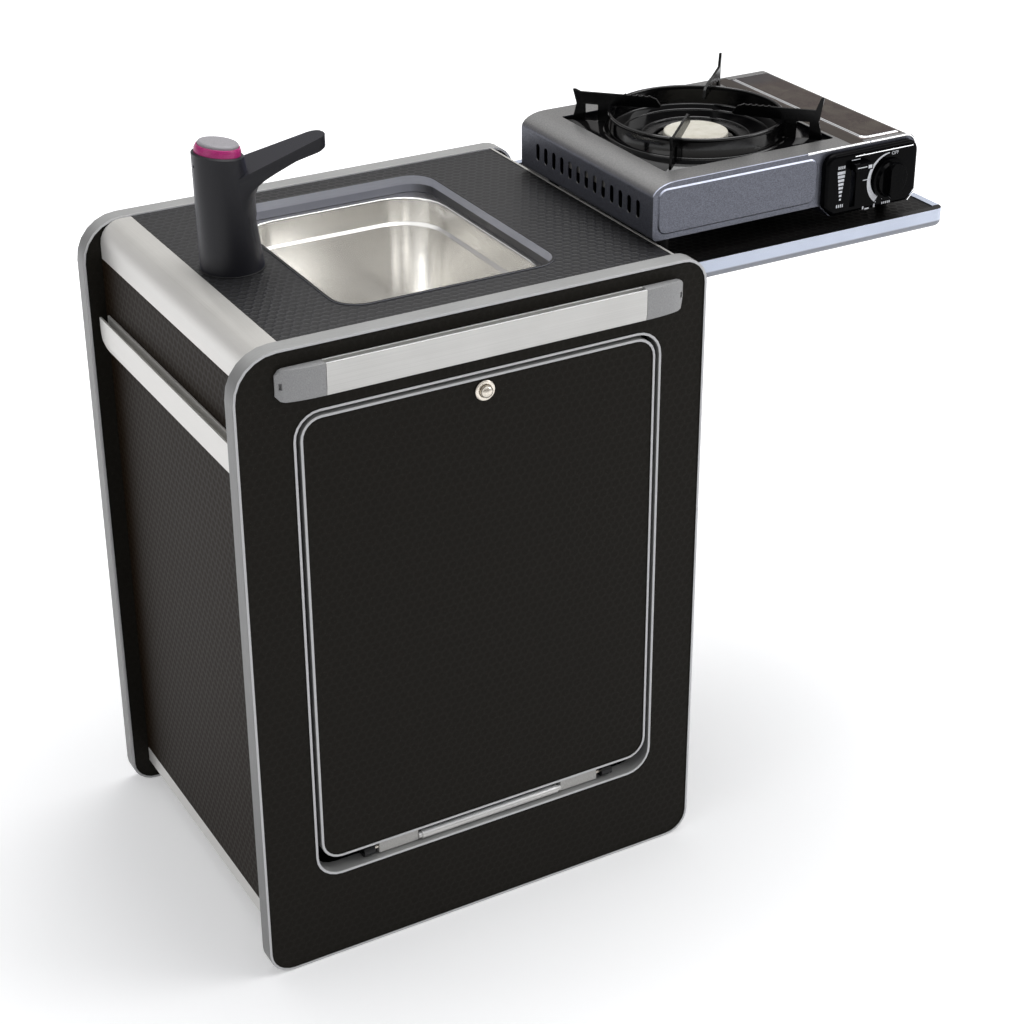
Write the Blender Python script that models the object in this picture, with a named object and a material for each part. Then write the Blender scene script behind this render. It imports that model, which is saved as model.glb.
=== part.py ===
"""Campervan kitchen pod: a cupboard of film-faced boards with a sink, a pump tap, a shelf and a gas stove.

Lengths are in metres. x runs right from the left edge of the front panel, y runs back from its outer face,
and z runs up from the floor. The empty pod_origin moves that corner, so that the world's origin is the middle
of the footprint.
"""

import math

import bmesh
import bpy
from mathutils import Matrix, Vector

# Fits and fineness
FIT = 0.0003
OVERRUN = 0.002
WELD = 0.000002
CORNER_STEPS = 6
EDGE_ROUND_STEPS = 4
ROUND_STEPS = 28
SHARP_ANGLE = math.radians(35)

# Cabinet, the driving sizes
PANEL_WIDTH = 0.540
PANEL_HEIGHT = 0.736
CABINET_DEPTH = 0.433
BOARD = 0.018
CORNER_TOP_LEFT = 0.048
CORNER_TOP_RIGHT = 0.030
CORNER_BOTTOM = 0.029
LEFT_SETBACK = 0.0216
RIGHT_SETBACK = 0.028

# Edge band that wraps each board
BAND = 0.0017
BAND_LIP = 0.003
BAND_LIP_THICKNESS = 0.0008
BAND_CHAMFER = 0.0005

# Front opening and table leaf
OPENING_WIDTH = 0.4184
OPENING_CENTRE = 0.2725
OPENING_BOTTOM = 0.1097
OPENING_TOP = 0.6618
OPENING_CORNER = 0.027
LEAF_SIDE_GAP = 0.0042
LEAF_TOP_GAP = 0.0038
LEAF_BOTTOM_GAP = 0.0193
LEAF_CORNER = 0.024

# Leaf hinge
HINGE_AXIS_DEPTH = 0.0085
HINGE_AXIS_BELOW_LEAF = 0.0105
HINGE_HEEL_RADIUS = 0.0078
HINGE_PIN_RADIUS = 0.002
HINGE_PIN_LENGTH = 0.028
HINGE_PIN_GRIP = 0.014
BLOCK_FACE_DEPTH = 0.0052
BLOCK_WIDTH = 0.048
BLOCK_FROM_OPENING = 0.0747
BLOCK_OFFSET = 0.009
PIN_STEPS = 16
BLOCK_PLATE = 0.0025
BLOCK_PLATE_RISE = 0.041
BRACKET_WIDTH = 0.013
BRACKET_FROM_BLOCK = 0.006
BRACKET_EYE_RADIUS = 0.0066
BRACKET_PLATE = 0.0046
BRACKET_DROP = 0.043
BRACKET_STEP_DROP = 0.0135
HOOK_BAR_RADIUS = 0.0074
HOOK_BAR_STEP_DEPTH = 0.0022
HOOK_BAR_STEP_HEIGHT = 0.0012
HOOK_BAR_TOP_RISE = 0.0052

# Push lock
LOCK_FROM_TOP = 0.0163
LOCK_ROSETTE_RADIUS = 0.0115
LOCK_ROSETTE_THICKNESS = 0.0022
LOCK_BARREL_RADIUS = 0.009
LOCK_BUTTON_RADIUS = 0.007
LOCK_BUTTON_STANDOUT = 0.0088
LOCK_BUTTON_DOME = 0.0045
LOCK_BUTTON_INSIDE = 0.010
LOCK_TRAVEL = 0.008
LOCK_CASE_WIDTH = 0.032
LOCK_CASE_BELOW = 0.020
LOCK_CASE_ABOVE = 0.0143
LOCK_CASE_DEPTH = 0.012
LOCK_BOLT_WIDTH = 0.016
LOCK_BOLT_THICKNESS = 0.003
LOCK_BOLT_BELOW = 0.007
LOCK_SLOT_SPARE = 0.001
LOCK_SLOT_WALL = 0.0015

# Hanging rails
RAIL_HEIGHT = 0.0343
RAIL_DEPTH = 0.012
RAIL_WALL = 0.0023
RAIL_CHANNEL_DEPTH = 0.013
RAIL_CREASE_RISE = 0.008
RAIL_CREASE_BACK = 0.0012
FRONT_RAIL_BOTTOM = 0.6823
FRONT_RAIL_LENGTH = 0.3645
FRONT_RAIL_CENTRE = 0.2763
CAP_LENGTH = 0.050
CAP_TIP_DEPTH = 0.002
CAP_CORNER = 0.009
CAP_SLOT_WIDTH = 0.003
CAP_SLOT_HEIGHT = 0.007
CAP_SLOT_FLOOR = 0.002
CAP_SLOT_FROM_TIP = 0.0045
CAP_CORNER_SHARE = 0.9
CAP_CREASE_LEAST = 0.0005
LEFT_RAIL_BOTTOM = 0.5933
LEFT_RAIL_END_GAP = 0.010
LEFT_RAIL_END_CORNER = 0.020

# Left corner profile
PROFILE_HEIGHT = 0.0424
PROFILE_WIDTH = 0.0374
PROFILE_RADIUS = 0.025
PROFILE_WALL = 0.002
PROFILE_LEDGE = 0.012
WORKTOP_BELOW_PANEL = 0.002

# Bottom profiles and base board
SKID_BOTTOM = 0.027
SKID_HEIGHT = 0.020
SKID_WIDTH = 0.030
SKID_WALL = 0.002
BASE_BOARD = 0.012

# Worktop cut-out and sink
CUTOUT_LEFT = 0.149
CUTOUT_WIDTH = 0.2517
CUTOUT_FRONT = 0.063
CUTOUT_REAR = 0.0534
CUTOUT_CORNER = 0.029
SINK_FLANGE_WIDTH = 0.265
SINK_FLANGE_REACH = 0.0042
SINK_FLANGE_CORNER = 0.018
SINK_RIM_WIDTH = 0.242
SINK_RIM_OVERHANG = 0.0083
SINK_RIM_CORNER = 0.054
SINK_SHEET = 0.0012
SINK_DEPTH = 0.150
SINK_SHOULDER_DROP = 0.029
SINK_SHOULDER_INSET = 0.0035
SINK_DRAFT = 0.004
SINK_BOTTOM_RADIUS = 0.030
SINK_RIM_RADIUS = 0.003
SINK_CORNER_SHARE = 0.9
SINK_RIM_SHARES = (0, 0.5, 1)
SINK_BEND_SHARES = (0, 0.25, 0.5, 0.75, 1)
DRAIN_FROM_FRONT = 0.090
DRAIN_HOLE_RADIUS = 0.022
DRAIN_FLANGE_RADIUS = 0.034
DRAIN_FLANGE_THICKNESS = 0.002
DRAIN_BORE_RADIUS = 0.018
DRAIN_NUT_RADIUS = 0.030
DRAIN_NUT_HEIGHT = 0.012
DRAIN_SPIGOT_RADIUS = 0.0095
DRAIN_SPIGOT_HEIGHT = 0.024
DRAIN_SPIGOT_BORE_RADIUS = 0.0075
HOLDER_LENGTH = 0.220
HOLDER_FOOT = 0.014
HOLDER_LIP = 0.006
HOLDER_SHEET = 0.002

# Pump tap
TAP_X = 0.098
TAP_Y = 0.222
TAP_BASE_RADIUS = 0.0336
TAP_TOP_RADIUS = 0.0268
TAP_TOP_SHIFT = -0.0086
TAP_TOP_TILT = 8.5
TAP_BODY_HEIGHT = 0.1245
TAP_RIM_ROUND = 0.0016
TAP_RING_RADIUS = 0.0241
TAP_RING_RISE = 0.008
TAP_RING_SEAT = 0.003
TAP_RING_WALL = 0.0026
TAP_BUTTON_RISE = 0.0115
TAP_BUTTON_DEPTH = 0.012
TAP_SPOUT_REACH = 0.1165
TAP_SPOUT_TIP_RADIUS = 0.0135
TAP_SPOUT_ROOT = 0.0997
TAP_SPOUT_RISE = 0.0281
TAP_SPOUT_DRAWN_IN = 0.0006
TAP_SPOUT_STEPS = 8
TAP_STEM_RADIUS = 0.0075
TAP_STEM_LENGTH = 0.034
TAP_HOLE_RADIUS = 0.009
TAP_VENT_RADIUS = 0.0014
TAP_VENT_DROP = 0.0107
TAP_VENT_DEPTH = 0.004
# Shares of the spout's root height, of its reach past the body, and of its top height at the lip
SPOUT_SHARES = (
    (0.44, 0.004, 0.44),
    (0.52, 0.010, 0.54),
    (0.60, 0.030, 0.61),
    (0.67, 0.060, 0.66),
    (0.73, 0.100, 0.70),
    (0.78, 0.160, 0.738),
    (0.83, 0.280, 0.771),
    (0.87, 0.440, 0.803),
    (0.91, 0.710, 0.857),
    (0.94, 0.880, 0.873),
    (0.96, 0.970, 0.876),
    (0.975, 1.000, 0.892),
    (0.99, 1.000, 0.990),
    (1.00, 0.984, 0.9985),
)

# Canisters and hoses
CANISTER_WIDTH = 0.190
CANISTER_DEPTH = 0.230
CANISTER_HEIGHT = 0.310
CANISTER_CORNER = 0.028
CANISTER_TAPER = 0.003
CANISTER_GRIP_HEIGHT = 0.034
CANISTER_GRIP_FROM_CAP = 0.015
CANISTER_GRIP_WIDTH = 0.032
CANISTER_GRIP_HOLE = 0.020
CANISTER_FROM_REAR = 0.055
FRESH_LEFT = 0.056
WASTE_RIGHT_GAP = 0.016
NECK_RADIUS = 0.026
NECK_HEIGHT = 0.010
NECK_FROM_FRONT = 0.046
NECK_FROM_LEFT = 0.070
CAP_RADIUS = 0.031
CAP_HEIGHT = 0.022
CAP_WALL = 0.002
CAP_RIBS = 18
CAP_RIB_DEPTH = 0.0012
WATER_HOSE_RADIUS = 0.006
DRAIN_HOSE_RADIUS = 0.0095
HOSE_STUB = 0.012
HOSE_STEPS = 14
HOSE_LEAD = 0.060

# Hanging shelf and its right-hand rail
SHELF_LENGTH = 0.367
SHELF_SIDE_GAP = 0.0075
SHELF_FROM_SIDE = 0.003
SHELF_BOARD = 0.020
SHELF_CORNER = 0.012
SHELF_EDGE = 0.008
SHELF_EDGE_LIP = 0.0095
SHELF_EDGE_ROUND = 0.007
SHELF_BELOW_WORKTOP = 0.0185
HOOK_PLATE = 0.0023
HOOK_PLATE_WIDTH = 0.044
HOOK_FINGER = 0.011
HOOK_SPARE = 0.0008
HOOK_STRIP = 0.0046
CONSOLE_SHEET = 0.003
CONSOLE_REACH = 0.170
CONSOLE_TIP = 0.010
CONSOLE_FOOT = 0.040
CONSOLE_FOOT_DROP = 0.105
CONSOLE_FLANGE = 0.018
CONSOLE_FROM_END = 0.130
CONSOLE_HOLE_SHARE = 0.42

# Gas stove
STOVE_LEFT = 0.503
STOVE_FRONT = 0.050
STOVE_WIDTH = 0.348
STOVE_DEPTH = 0.278
STOVE_HEIGHT = 0.087
STOVE_LIFT = 0.024
STOVE_TROUGH_LIFT = 0.010
STOVE_TROUGH_WIDTH = 0.116
STOVE_BOTTOM_RADIUS = 0.006
STOVE_CHAMFER = 0.011
STOVE_SHEET = 0.0012
STOVE_CREASE_DROP = 0.015
STOVE_SHOULDER = 0.030
STOVE_RIGHT_RADIUS = 0.014
STOVE_FACE_CORNER = 0.011
STOVE_FACE_MARGIN = 0.006
STOVE_FACE_RAISE = 0.0015
STOVE_VENTS = 13
VENT_WIDTH = 0.0078
VENT_HEIGHT = 0.020
VENT_PITCH = 0.0176
VENT_DROP = 0.020
VENTS_FORWARD = 0.004
PAN_LEFT_MARGIN = 0.032
PAN_WIDTH = 0.228
PAN_DEPTH = 0.222
PAN_CORNER = 0.006
PAN_SHEET = 0.0014
PAN_RIM = 0.003
PAN_SLOPE = 0.0012
PAN_SINK = 0.004
PAN_BOWL_DROP = 0.006
PAN_HOLE_RADIUS = 0.046
RING_MARGIN = 0.0125
RING_WALL = 0.0025
RING_RISE = 0.019
RING_ROLL = 0.002
PRONG_SHEET = 0.003
PRONG_TOP = 0.031
PRONG_HORN = 0.0145
PRONG_STUB = 0.0025
PRONG_HORN_TIP = 0.0035
PRONG_HORN_FOOT = 0.009
PRONG_BEYOND_RING = 0.044
PRONG_WAIST = 0.0045
PRONG_WINDOW = 0.0145
PRONG_IN_RING = 0.0005
PRONG_TIP = 0.040
PRONG_BAR = 0.014
PRONG_TIP_LENGTH = 0.006
PRONG_TIP_DROP = 0.010
PRONG_TIP_EDGE = 0.002
PRONG_TEETH = 5
PRONG_TOOTH = 0.0016
PRONG_TOOTH_PITCH = 0.007
PRONG_TEETH_FROM_TIP = 0.012
PRONG_TURNS = (math.pi / 4, math.pi * 3 / 4, math.pi * 5 / 4, math.pi * 7 / 4)
BURNER_RADIUS = 0.044
BURNER_RIM = 0.006
BURNER_SLOT_WIDTH = 0.003
BURNER_WAIST_RADIUS = 0.030
BURNER_CAP_RADIUS = 0.0365
BURNER_CAP_HEIGHT = 0.007
BURNER_CAP_TOP = 0.082
BURNER_CAP_RIM = 0.0035
BURNER_SLOTS = 16
TRAY_SHEET = 0.0012
TRAY_LIP = 0.008
FOOT_RADIUS = 0.0065
FOOT_INSET = 0.022
LID_WIDTH = 0.069
LID_SHEET = 0.0012
LID_FLANK = 0.017
LID_END_MARGIN = 0.010
LID_GAP = 0.001
LID_ROD_RADIUS = 0.0012
LID_ROD_INSET = 0.0032
CARTRIDGE_RADIUS = 0.033
CARTRIDGE_LENGTH = 0.186
CARTRIDGE_NECK_RADIUS = 0.016
CARTRIDGE_NECK_LENGTH = 0.012
CARTRIDGE_SHOULDER = 0.010
CARTRIDGE_WALL = 0.001
CARTRIDGE_VALVE_RADIUS = 0.0015
CARTRIDGE_FROM_REAR = 0.016
CARTRIDGE_FROM_SIDE = 0.004
CRADLE_RISE = 0.004
CRADLE_LENGTH = 0.010
CRADLE_WIDTH = 0.030
REGULATOR_WIDTH = 0.036
REGULATOR_HEIGHT = 0.040
REGULATOR_RADIUS = 0.008
PANEL_FACE_RIGHT_MARGIN = 0.002
PANEL_FACE_WIDTH = 0.127
PANEL_FACE_BOTTOM = 0.012
PANEL_FACE_HEIGHT = 0.071
PANEL_FACE_DEPTH = 0.0085
PANEL_FACE_CORNER = 0.013
PANEL_FACE_CHAMFER = 0.012
PANEL_FACE_SHELL = 0.0025
PANEL_FACE_ROUND = 0.0045
KNOB_RADIUS = 0.0237
KNOB_DEPTH = 0.014
KNOB_SKIRT = 0.003
KNOB_GRIP_WIDTH = 0.017
KNOB_GRIP_DEPTH = 0.010
KNOB_FROM_RIGHT = 0.0413
KNOB_REST_TURN = 90
KNOB_HEIGHT = 0.0436
KNOB_SHAFT_RADIUS = 0.003
KNOB_SHAFT_LENGTH = 0.016
LEVER_FROM_RIGHT = 0.091
LEVER_SLOT_WIDTH = 0.007
LEVER_SLOT_BOTTOM = 0.019
LEVER_SLOT_HEIGHT = 0.052
LEVER_WIDTH = 0.024
LEVER_HEIGHT = 0.008
LEVER_STANDOUT = 0.009
LEVER_STEM = 0.0052
LEVER_GUIDE_WIDTH = 0.014
LEVER_GUIDE_DEPTH = 0.002

# Places that follow from the sizes
SIDE_LEFT = LEFT_SETBACK
SIDE_RIGHT = PANEL_WIDTH - RIGHT_SETBACK
BACK_INNER = CABINET_DEPTH - BOARD
BETWEEN_FRONT = BOARD + BAND_LIP_THICKNESS + 2 * FIT
BETWEEN_BACK = BACK_INNER - BAND_LIP_THICKNESS - 2 * FIT
WORKTOP_TOP = PANEL_HEIGHT - WORKTOP_BELOW_PANEL
WORKTOP_UNDER = WORKTOP_TOP - BOARD
SHELF_TOP = WORKTOP_TOP - SHELF_BELOW_WORKTOP
SHELF_LEFT = SIDE_RIGHT + SHELF_FROM_SIDE
SHELF_RIGHT = SHELF_LEFT + SHELF_LENGTH
FRONT_MOST = -RAIL_DEPTH
REAR_MOST = CABINET_DEPTH + FIT + BAND_LIP_THICKNESS
SIDE_FOOT = SKID_BOTTOM + SKID_HEIGHT + FIT
OPENING_LEFT = OPENING_CENTRE - OPENING_WIDTH / 2
OPENING_RIGHT = OPENING_CENTRE + OPENING_WIDTH / 2
LEAF_LEFT = OPENING_LEFT + LEAF_SIDE_GAP
LEAF_RIGHT = OPENING_RIGHT - LEAF_SIDE_GAP
LEAF_BOTTOM = OPENING_BOTTOM + LEAF_BOTTOM_GAP
LEAF_TOP = OPENING_TOP - LEAF_TOP_GAP
LEAF_BACK = BOARD + FIT + BAND_LIP_THICKNESS + FIT
HINGE_HEIGHT = LEAF_BOTTOM - HINGE_AXIS_BELOW_LEAF
LOCK_HEIGHT = LEAF_TOP - LOCK_FROM_TOP
CUTOUT_DEPTH = CABINET_DEPTH - CUTOUT_FRONT - CUTOUT_REAR
SINK_FLANGE_DEPTH = CUTOUT_DEPTH + 2 * SINK_FLANGE_REACH
SINK_RIM_DEPTH = CUTOUT_DEPTH - 2 * SINK_RIM_OVERHANG
SINK_CENTRE_X = CUTOUT_LEFT + CUTOUT_WIDTH / 2
SINK_CENTRE_Y = CUTOUT_FRONT + CUTOUT_DEPTH / 2
SINK_TOP = WORKTOP_UNDER - BAND_LIP_THICKNESS - 2 * FIT
SINK_FLOOR = SINK_TOP - SINK_DEPTH
DRAIN_Y = SINK_CENTRE_Y - SINK_RIM_DEPTH / 2 + DRAIN_FROM_FRONT
BASE_TOP = SIDE_FOOT + BASE_BOARD
CANISTER_FRONT = BACK_INNER - CANISTER_FROM_REAR - CANISTER_DEPTH
STOVE_BASE = SHELF_TOP + FIT
STOVE_TOP = SHELF_TOP + STOVE_HEIGHT
STOVE_UNDER = SHELF_TOP + STOVE_LIFT
STOVE_RIGHT = STOVE_LEFT + STOVE_WIDTH
STOVE_BACK = STOVE_FRONT + STOVE_DEPTH
RING_RADIUS = min(PAN_WIDTH, PAN_DEPTH) / 2 - RING_MARGIN
PRONG_OUTER = RING_RADIUS + PRONG_BEYOND_RING
PRONG_INNER_LEG = RING_RADIUS - PRONG_IN_RING
PAN_CENTRE_X = STOVE_LEFT + PAN_LEFT_MARGIN + PAN_WIDTH / 2
PAN_CENTRE_Y = STOVE_FRONT + STOVE_DEPTH / 2
LID_LEFT = STOVE_RIGHT - LID_WIDTH
LID_AXIS = Vector((STOVE_RIGHT - LID_ROD_INSET, 0, STOVE_TOP - STOVE_RIGHT_RADIUS - LID_FLANK))

ORIGIN = Vector((SHELF_RIGHT / 2, (FRONT_MOST + REAR_MOST) / 2, 0))
PLACES = {}
UP = Vector((0, 0, 1))
RIGHT = Vector((1, 0, 0))
BACK = Vector((0, 1, 0))
TAP_AXIS = Vector((math.sin(math.radians(TAP_TOP_TILT)), 0, math.cos(math.radians(TAP_TOP_TILT))))

# Colour, roughness and metallic value of each finish
FINISHES = {
    "film_face": ((0.022, 0.020, 0.019), 0.62, 0.0),
    "edge_band": ((0.30, 0.31, 0.33), 0.42, 0.0),
    "aluminium": ((0.62, 0.61, 0.58), 0.38, 1.0),
    "grey_plastic": ((0.27, 0.28, 0.30), 0.50, 0.0),
    "black_plastic": ((0.015, 0.015, 0.016), 0.35, 0.0),
    "steel": ((0.60, 0.58, 0.55), 0.30, 1.0),
    "sink_steel": ((0.56, 0.52, 0.45), 0.28, 1.0),
    "tap_plastic": ((0.040, 0.040, 0.048), 0.45, 0.0),
    "tap_ring": ((0.55, 0.03, 0.22), 0.35, 0.0),
    "tap_button": ((0.20, 0.20, 0.20), 0.45, 0.0),
    "white_tank": ((0.72, 0.72, 0.69), 0.45, 0.0),
    "blue_cap": ((0.03, 0.10, 0.32), 0.45, 0.0),
    "hose": ((0.35, 0.36, 0.37), 0.40, 0.0),
    "stove_paint": ((0.13, 0.135, 0.16), 0.35, 0.6),
    "black_enamel": ((0.008, 0.008, 0.009), 0.12, 0.0),
    "mirror_steel": ((0.50, 0.46, 0.44), 0.06, 1.0),
    "burner_cream": ((0.62, 0.57, 0.47), 0.60, 0.0),
    "cast_alloy": ((0.10, 0.10, 0.10), 0.55, 0.8),
    "cartridge_paint": ((0.10, 0.16, 0.33), 0.30, 0.5),
}


def clear_scene():
    """Remove what the scene holds, so that the pod stands alone."""
    for obj in list(bpy.data.objects):
        bpy.data.objects.remove(obj)


def arc(centre, radius, start, sweep=90, steps=CORNER_STEPS):
    """Points of an arc in a plane, anticlockwise from the angle start, in degrees."""
    turns = [math.radians(start + sweep * step / steps) for step in range(steps + 1)]
    return [(centre[0] + radius * math.cos(turn), centre[1] + radius * math.sin(turn)) for turn in turns]


def rounded(left, right, low, high, radii):
    """Outline of a rectangle. Its corner radii go low left, low right, high right, high left."""
    corners = (
        ((left, low), (1, 1), 180),
        ((right, low), (-1, 1), 270),
        ((right, high), (-1, -1), 0),
        ((left, high), (1, -1), 90),
    )
    outline = []
    for (corner, inward, start), radius in zip(corners, radii):
        centre = (corner[0] + inward[0] * radius, corner[1] + inward[1] * radius)
        outline += arc(centre, radius, start)
    return outline


def inset(frame, amount):
    """A rectangle with corner radii, drawn in all round by an amount, or let out where it is negative."""
    left, right, low, high, radii = frame
    return (left + amount, right - amount, low + amount, high - amount, [radius - amount for radius in radii])


def placed(outline, plane, depth):
    """Points of a plane outline in the pod: XZ is a front view, YZ a side view and XY a plan."""
    if plane == "XZ":
        return [Vector((u, depth, v)) for u, v in outline]
    if plane == "YZ":
        return [Vector((depth, u, v)) for u, v in outline]
    return [Vector((u, v, depth)) for u, v in outline]


def lofted(rings, closed=False):
    """A solid through rings of as many points each. A closed one ends where it starts, as a hoop does."""
    bm = bmesh.new()
    loops = [[bm.verts.new(point) for point in ring] for ring in rings]
    pairs = list(zip(loops, loops[1:]))
    if closed:
        pairs.append((loops[-1], loops[0]))
    for first, second in pairs:
        for corners in zip(first, first[1:] + first[:1], second[1:] + second[:1], second):
            bm.faces.new(corners)
    if not closed:
        bm.faces.new(loops[0])
        bm.faces.new(loops[-1])
    return bm


def extruded(outline, plane, near, far):
    """A prism with a plane outline, from one depth to another."""
    bm = bmesh.new()
    face = bm.faces.new([bm.verts.new(point) for point in placed(outline, plane, near)])
    moved = bmesh.ops.extrude_face_region(bm, geom=[face])["geom"]
    travel = placed([(0, 0)], plane, far - near)[0]
    far_end = [part for part in moved if isinstance(part, bmesh.types.BMVert)]
    bmesh.ops.translate(bm, verts=far_end, vec=travel)
    return bm


def turned(profile, place, axis=UP, steps=ROUND_STEPS, closed=False):
    """A solid of revolution. The profile gives radius and height along the axis, from the place."""
    bm = bmesh.new()
    verts = [bm.verts.new((radius, 0, height)) for radius, height in profile]
    pairs = list(zip(verts, verts[1:]))
    if closed:
        pairs.append((verts[-1], verts[0]))
    edges = [bm.edges.new(pair) for pair in pairs]
    whole = verts + edges
    bmesh.ops.spin(bm, geom=whole, cent=Vector(), axis=UP, angle=math.tau, steps=steps, use_merge=True)
    turn = UP.rotation_difference(axis).to_matrix().to_4x4()
    bmesh.ops.transform(bm, matrix=Matrix.Translation(place) @ turn, verts=bm.verts)
    return bm


def peg(radius, low, high, place, axis=UP, steps=ROUND_STEPS):
    """A plain round bar, between two heights along its axis."""
    return turned([(0, low), (radius, low), (radius, high), (0, high)], place, axis, steps)


def block(left, right, near, far, low, high):
    """A box between three pairs of limits: x, y and z."""
    return extruded([(left, low), (right, low), (right, high), (left, high)], "XZ", near, far)


def together(*shapes):
    """Several shapes in one mesh, as a cutter with many teeth."""
    whole = bmesh.new()
    for bm in shapes:
        mesh = bpy.data.meshes.new("shape")
        bm.to_mesh(mesh)
        bm.free()
        whole.from_mesh(mesh)
        bpy.data.meshes.remove(mesh)
    return whole


def finish_of(name, finish):
    """The material of one piece."""
    colour, roughness, metallic = FINISHES[finish]
    material = bpy.data.materials.new(f"{name}_{finish}")
    material.use_nodes = True
    shader = material.node_tree.nodes["Principled BSDF"]
    shader.inputs["Base Color"].default_value = (*colour, 1)
    shader.inputs["Roughness"].default_value = roughness
    shader.inputs["Metallic"].default_value = metallic
    material.diffuse_color = (*colour, 1)
    return material


def carrier(name, place, parent):
    """An empty that carries the pieces of one moving group. Its place is in the pod's own coordinates."""
    empty = bpy.data.objects.new(name, None)
    bpy.context.scene.collection.objects.link(empty)
    PLACES[name] = Vector(place)
    if parent:
        empty.parent = parent
        empty.location = PLACES[name] - PLACES[parent.name]
    else:
        empty.location = -ORIGIN
    return empty


def object_of(name, bm, parent, pivot=None):
    """A mesh object with clean outward faces and its origin at the pivot, given in the pod's coordinates."""
    pivot = PLACES[parent.name] if pivot is None else Vector(pivot)
    bmesh.ops.remove_doubles(bm, verts=bm.verts, dist=WELD)
    bmesh.ops.dissolve_degenerate(bm, edges=bm.edges, dist=WELD)
    bmesh.ops.recalc_face_normals(bm, faces=bm.faces)
    bmesh.ops.translate(bm, verts=bm.verts, vec=-pivot)
    mesh = bpy.data.meshes.new(name)
    bm.to_mesh(mesh)
    bm.free()
    obj = bpy.data.objects.new(name, mesh)
    bpy.context.scene.collection.objects.link(obj)
    obj.parent = parent
    obj.location = pivot - PLACES[parent.name]
    return obj


def piece(name, bm, finish, parent, pivot=None):
    """One sub-part of the pod, shaded smooth but for its sharp edges."""
    obj = object_of(name, bm, parent, pivot)
    obj.data.materials.append(finish_of(name, finish))
    obj.data.shade_smooth()
    obj.data.set_sharp_from_angle(angle=SHARP_ANGLE)
    return obj


def combine(obj, bm, operation):
    """Cut a shape from a piece, or join it on, with a live Boolean."""
    tool = object_of(f"{obj.name}_{operation.lower()}_{len(obj.modifiers)}", bm, obj.parent)
    tool.hide_render = True
    tool.display_type = "WIRE"
    modifier = obj.modifiers.new(operation.title(), "BOOLEAN")
    modifier.operation = operation
    modifier.object = tool
    modifier.solver = "EXACT"


def cut(obj, bm):
    combine(obj, bm, "DIFFERENCE")


def join(obj, bm):
    combine(obj, bm, "UNION")


def board_in(name, frame, plane, depth, thickness, parent):
    """A film-faced board that fills an edge band's frame."""
    outline = rounded(*inset(frame, BAND + FIT))
    return piece(name, extruded(outline, plane, depth, depth + thickness), "film_face", parent)


def band_round(name, frame, plane, depth, thickness, side, parent):
    """A closed edge band: a web with a lip on each face. Side 1 wraps a board, and -1 lines a hole."""
    front = depth - FIT - BAND_LIP_THICKNESS
    back = depth + thickness + FIT + BAND_LIP_THICKNESS
    section = (
        (0, front + BAND_CHAMFER),
        (BAND_CHAMFER, front),
        (BAND_LIP, front),
        (BAND_LIP, depth - FIT),
        (BAND, depth - FIT),
        (BAND, depth + thickness + FIT),
        (BAND_LIP, depth + thickness + FIT),
        (BAND_LIP, back),
        (BAND_CHAMFER, back),
        (0, back - BAND_CHAMFER),
    )
    rings = [placed(rounded(*inset(frame, side * inward)), plane, level) for inward, level in section]
    return piece(name, lofted(rings, closed=True), "edge_band", parent)


def panel_frame():
    """Outline of an end panel, with the large radius over the corner profile."""
    radii = (CORNER_BOTTOM, CORNER_BOTTOM, CORNER_TOP_RIGHT, CORNER_TOP_LEFT)
    return (0, PANEL_WIDTH, 0, PANEL_HEIGHT, radii)


def opening_frame():
    """The clear opening in the front panel, inside its edge band."""
    return (OPENING_LEFT, OPENING_RIGHT, OPENING_BOTTOM, OPENING_TOP, [OPENING_CORNER] * 4)


def make_end_panels(pod):
    """The two end panels, with the leaf's opening in the front one."""
    front = board_in("front_panel", panel_frame(), "XZ", 0, BOARD, pod)
    opening = rounded(*inset(opening_frame(), -BAND - FIT))
    cut(front, extruded(opening, "XZ", -OVERRUN, BOARD + OVERRUN))
    band_round("front_panel_edge_band", panel_frame(), "XZ", 0, BOARD, 1, pod)
    band_round("opening_edge_band", opening_frame(), "XZ", 0, BOARD, -1, pod)
    board_in("rear_panel", panel_frame(), "XZ", BACK_INNER, BOARD, pod)
    band_round("rear_panel_edge_band", panel_frame(), "XZ", BACK_INNER, BOARD, 1, pod)


def make_corner_profile(pod):
    """The bent aluminium section along the top left edge. It sits on the side board under the worktop."""
    left = SIDE_LEFT
    top = WORKTOP_TOP
    bottom = top - PROFILE_HEIGHT
    right = left + PROFILE_WIDTH
    bend = (left + PROFILE_RADIUS, top - PROFILE_RADIUS)
    ledge = WORKTOP_UNDER - FIT
    outer = arc(bend, PROFILE_RADIUS, 90)
    inner = arc(bend, PROFILE_RADIUS - PROFILE_WALL, 90)
    inner.reverse()
    outline = [
        *outer,
        (left, bottom),
        (left + BOARD + PROFILE_WALL, bottom),
        (left + BOARD + PROFILE_WALL, bottom + PROFILE_WALL),
        (left + PROFILE_WALL, bottom + PROFILE_WALL),
        *inner,
        (right - PROFILE_WALL, top - PROFILE_WALL),
        (right - PROFILE_WALL, ledge - PROFILE_WALL),
        (right + PROFILE_LEDGE, ledge - PROFILE_WALL),
        (right + PROFILE_LEDGE, ledge),
        (right, ledge),
        (right, top),
    ]
    bm = extruded(outline, "XZ", BETWEEN_FRONT, BETWEEN_BACK)
    piece("left_corner_profile", bm, "aluminium", pod)


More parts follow.
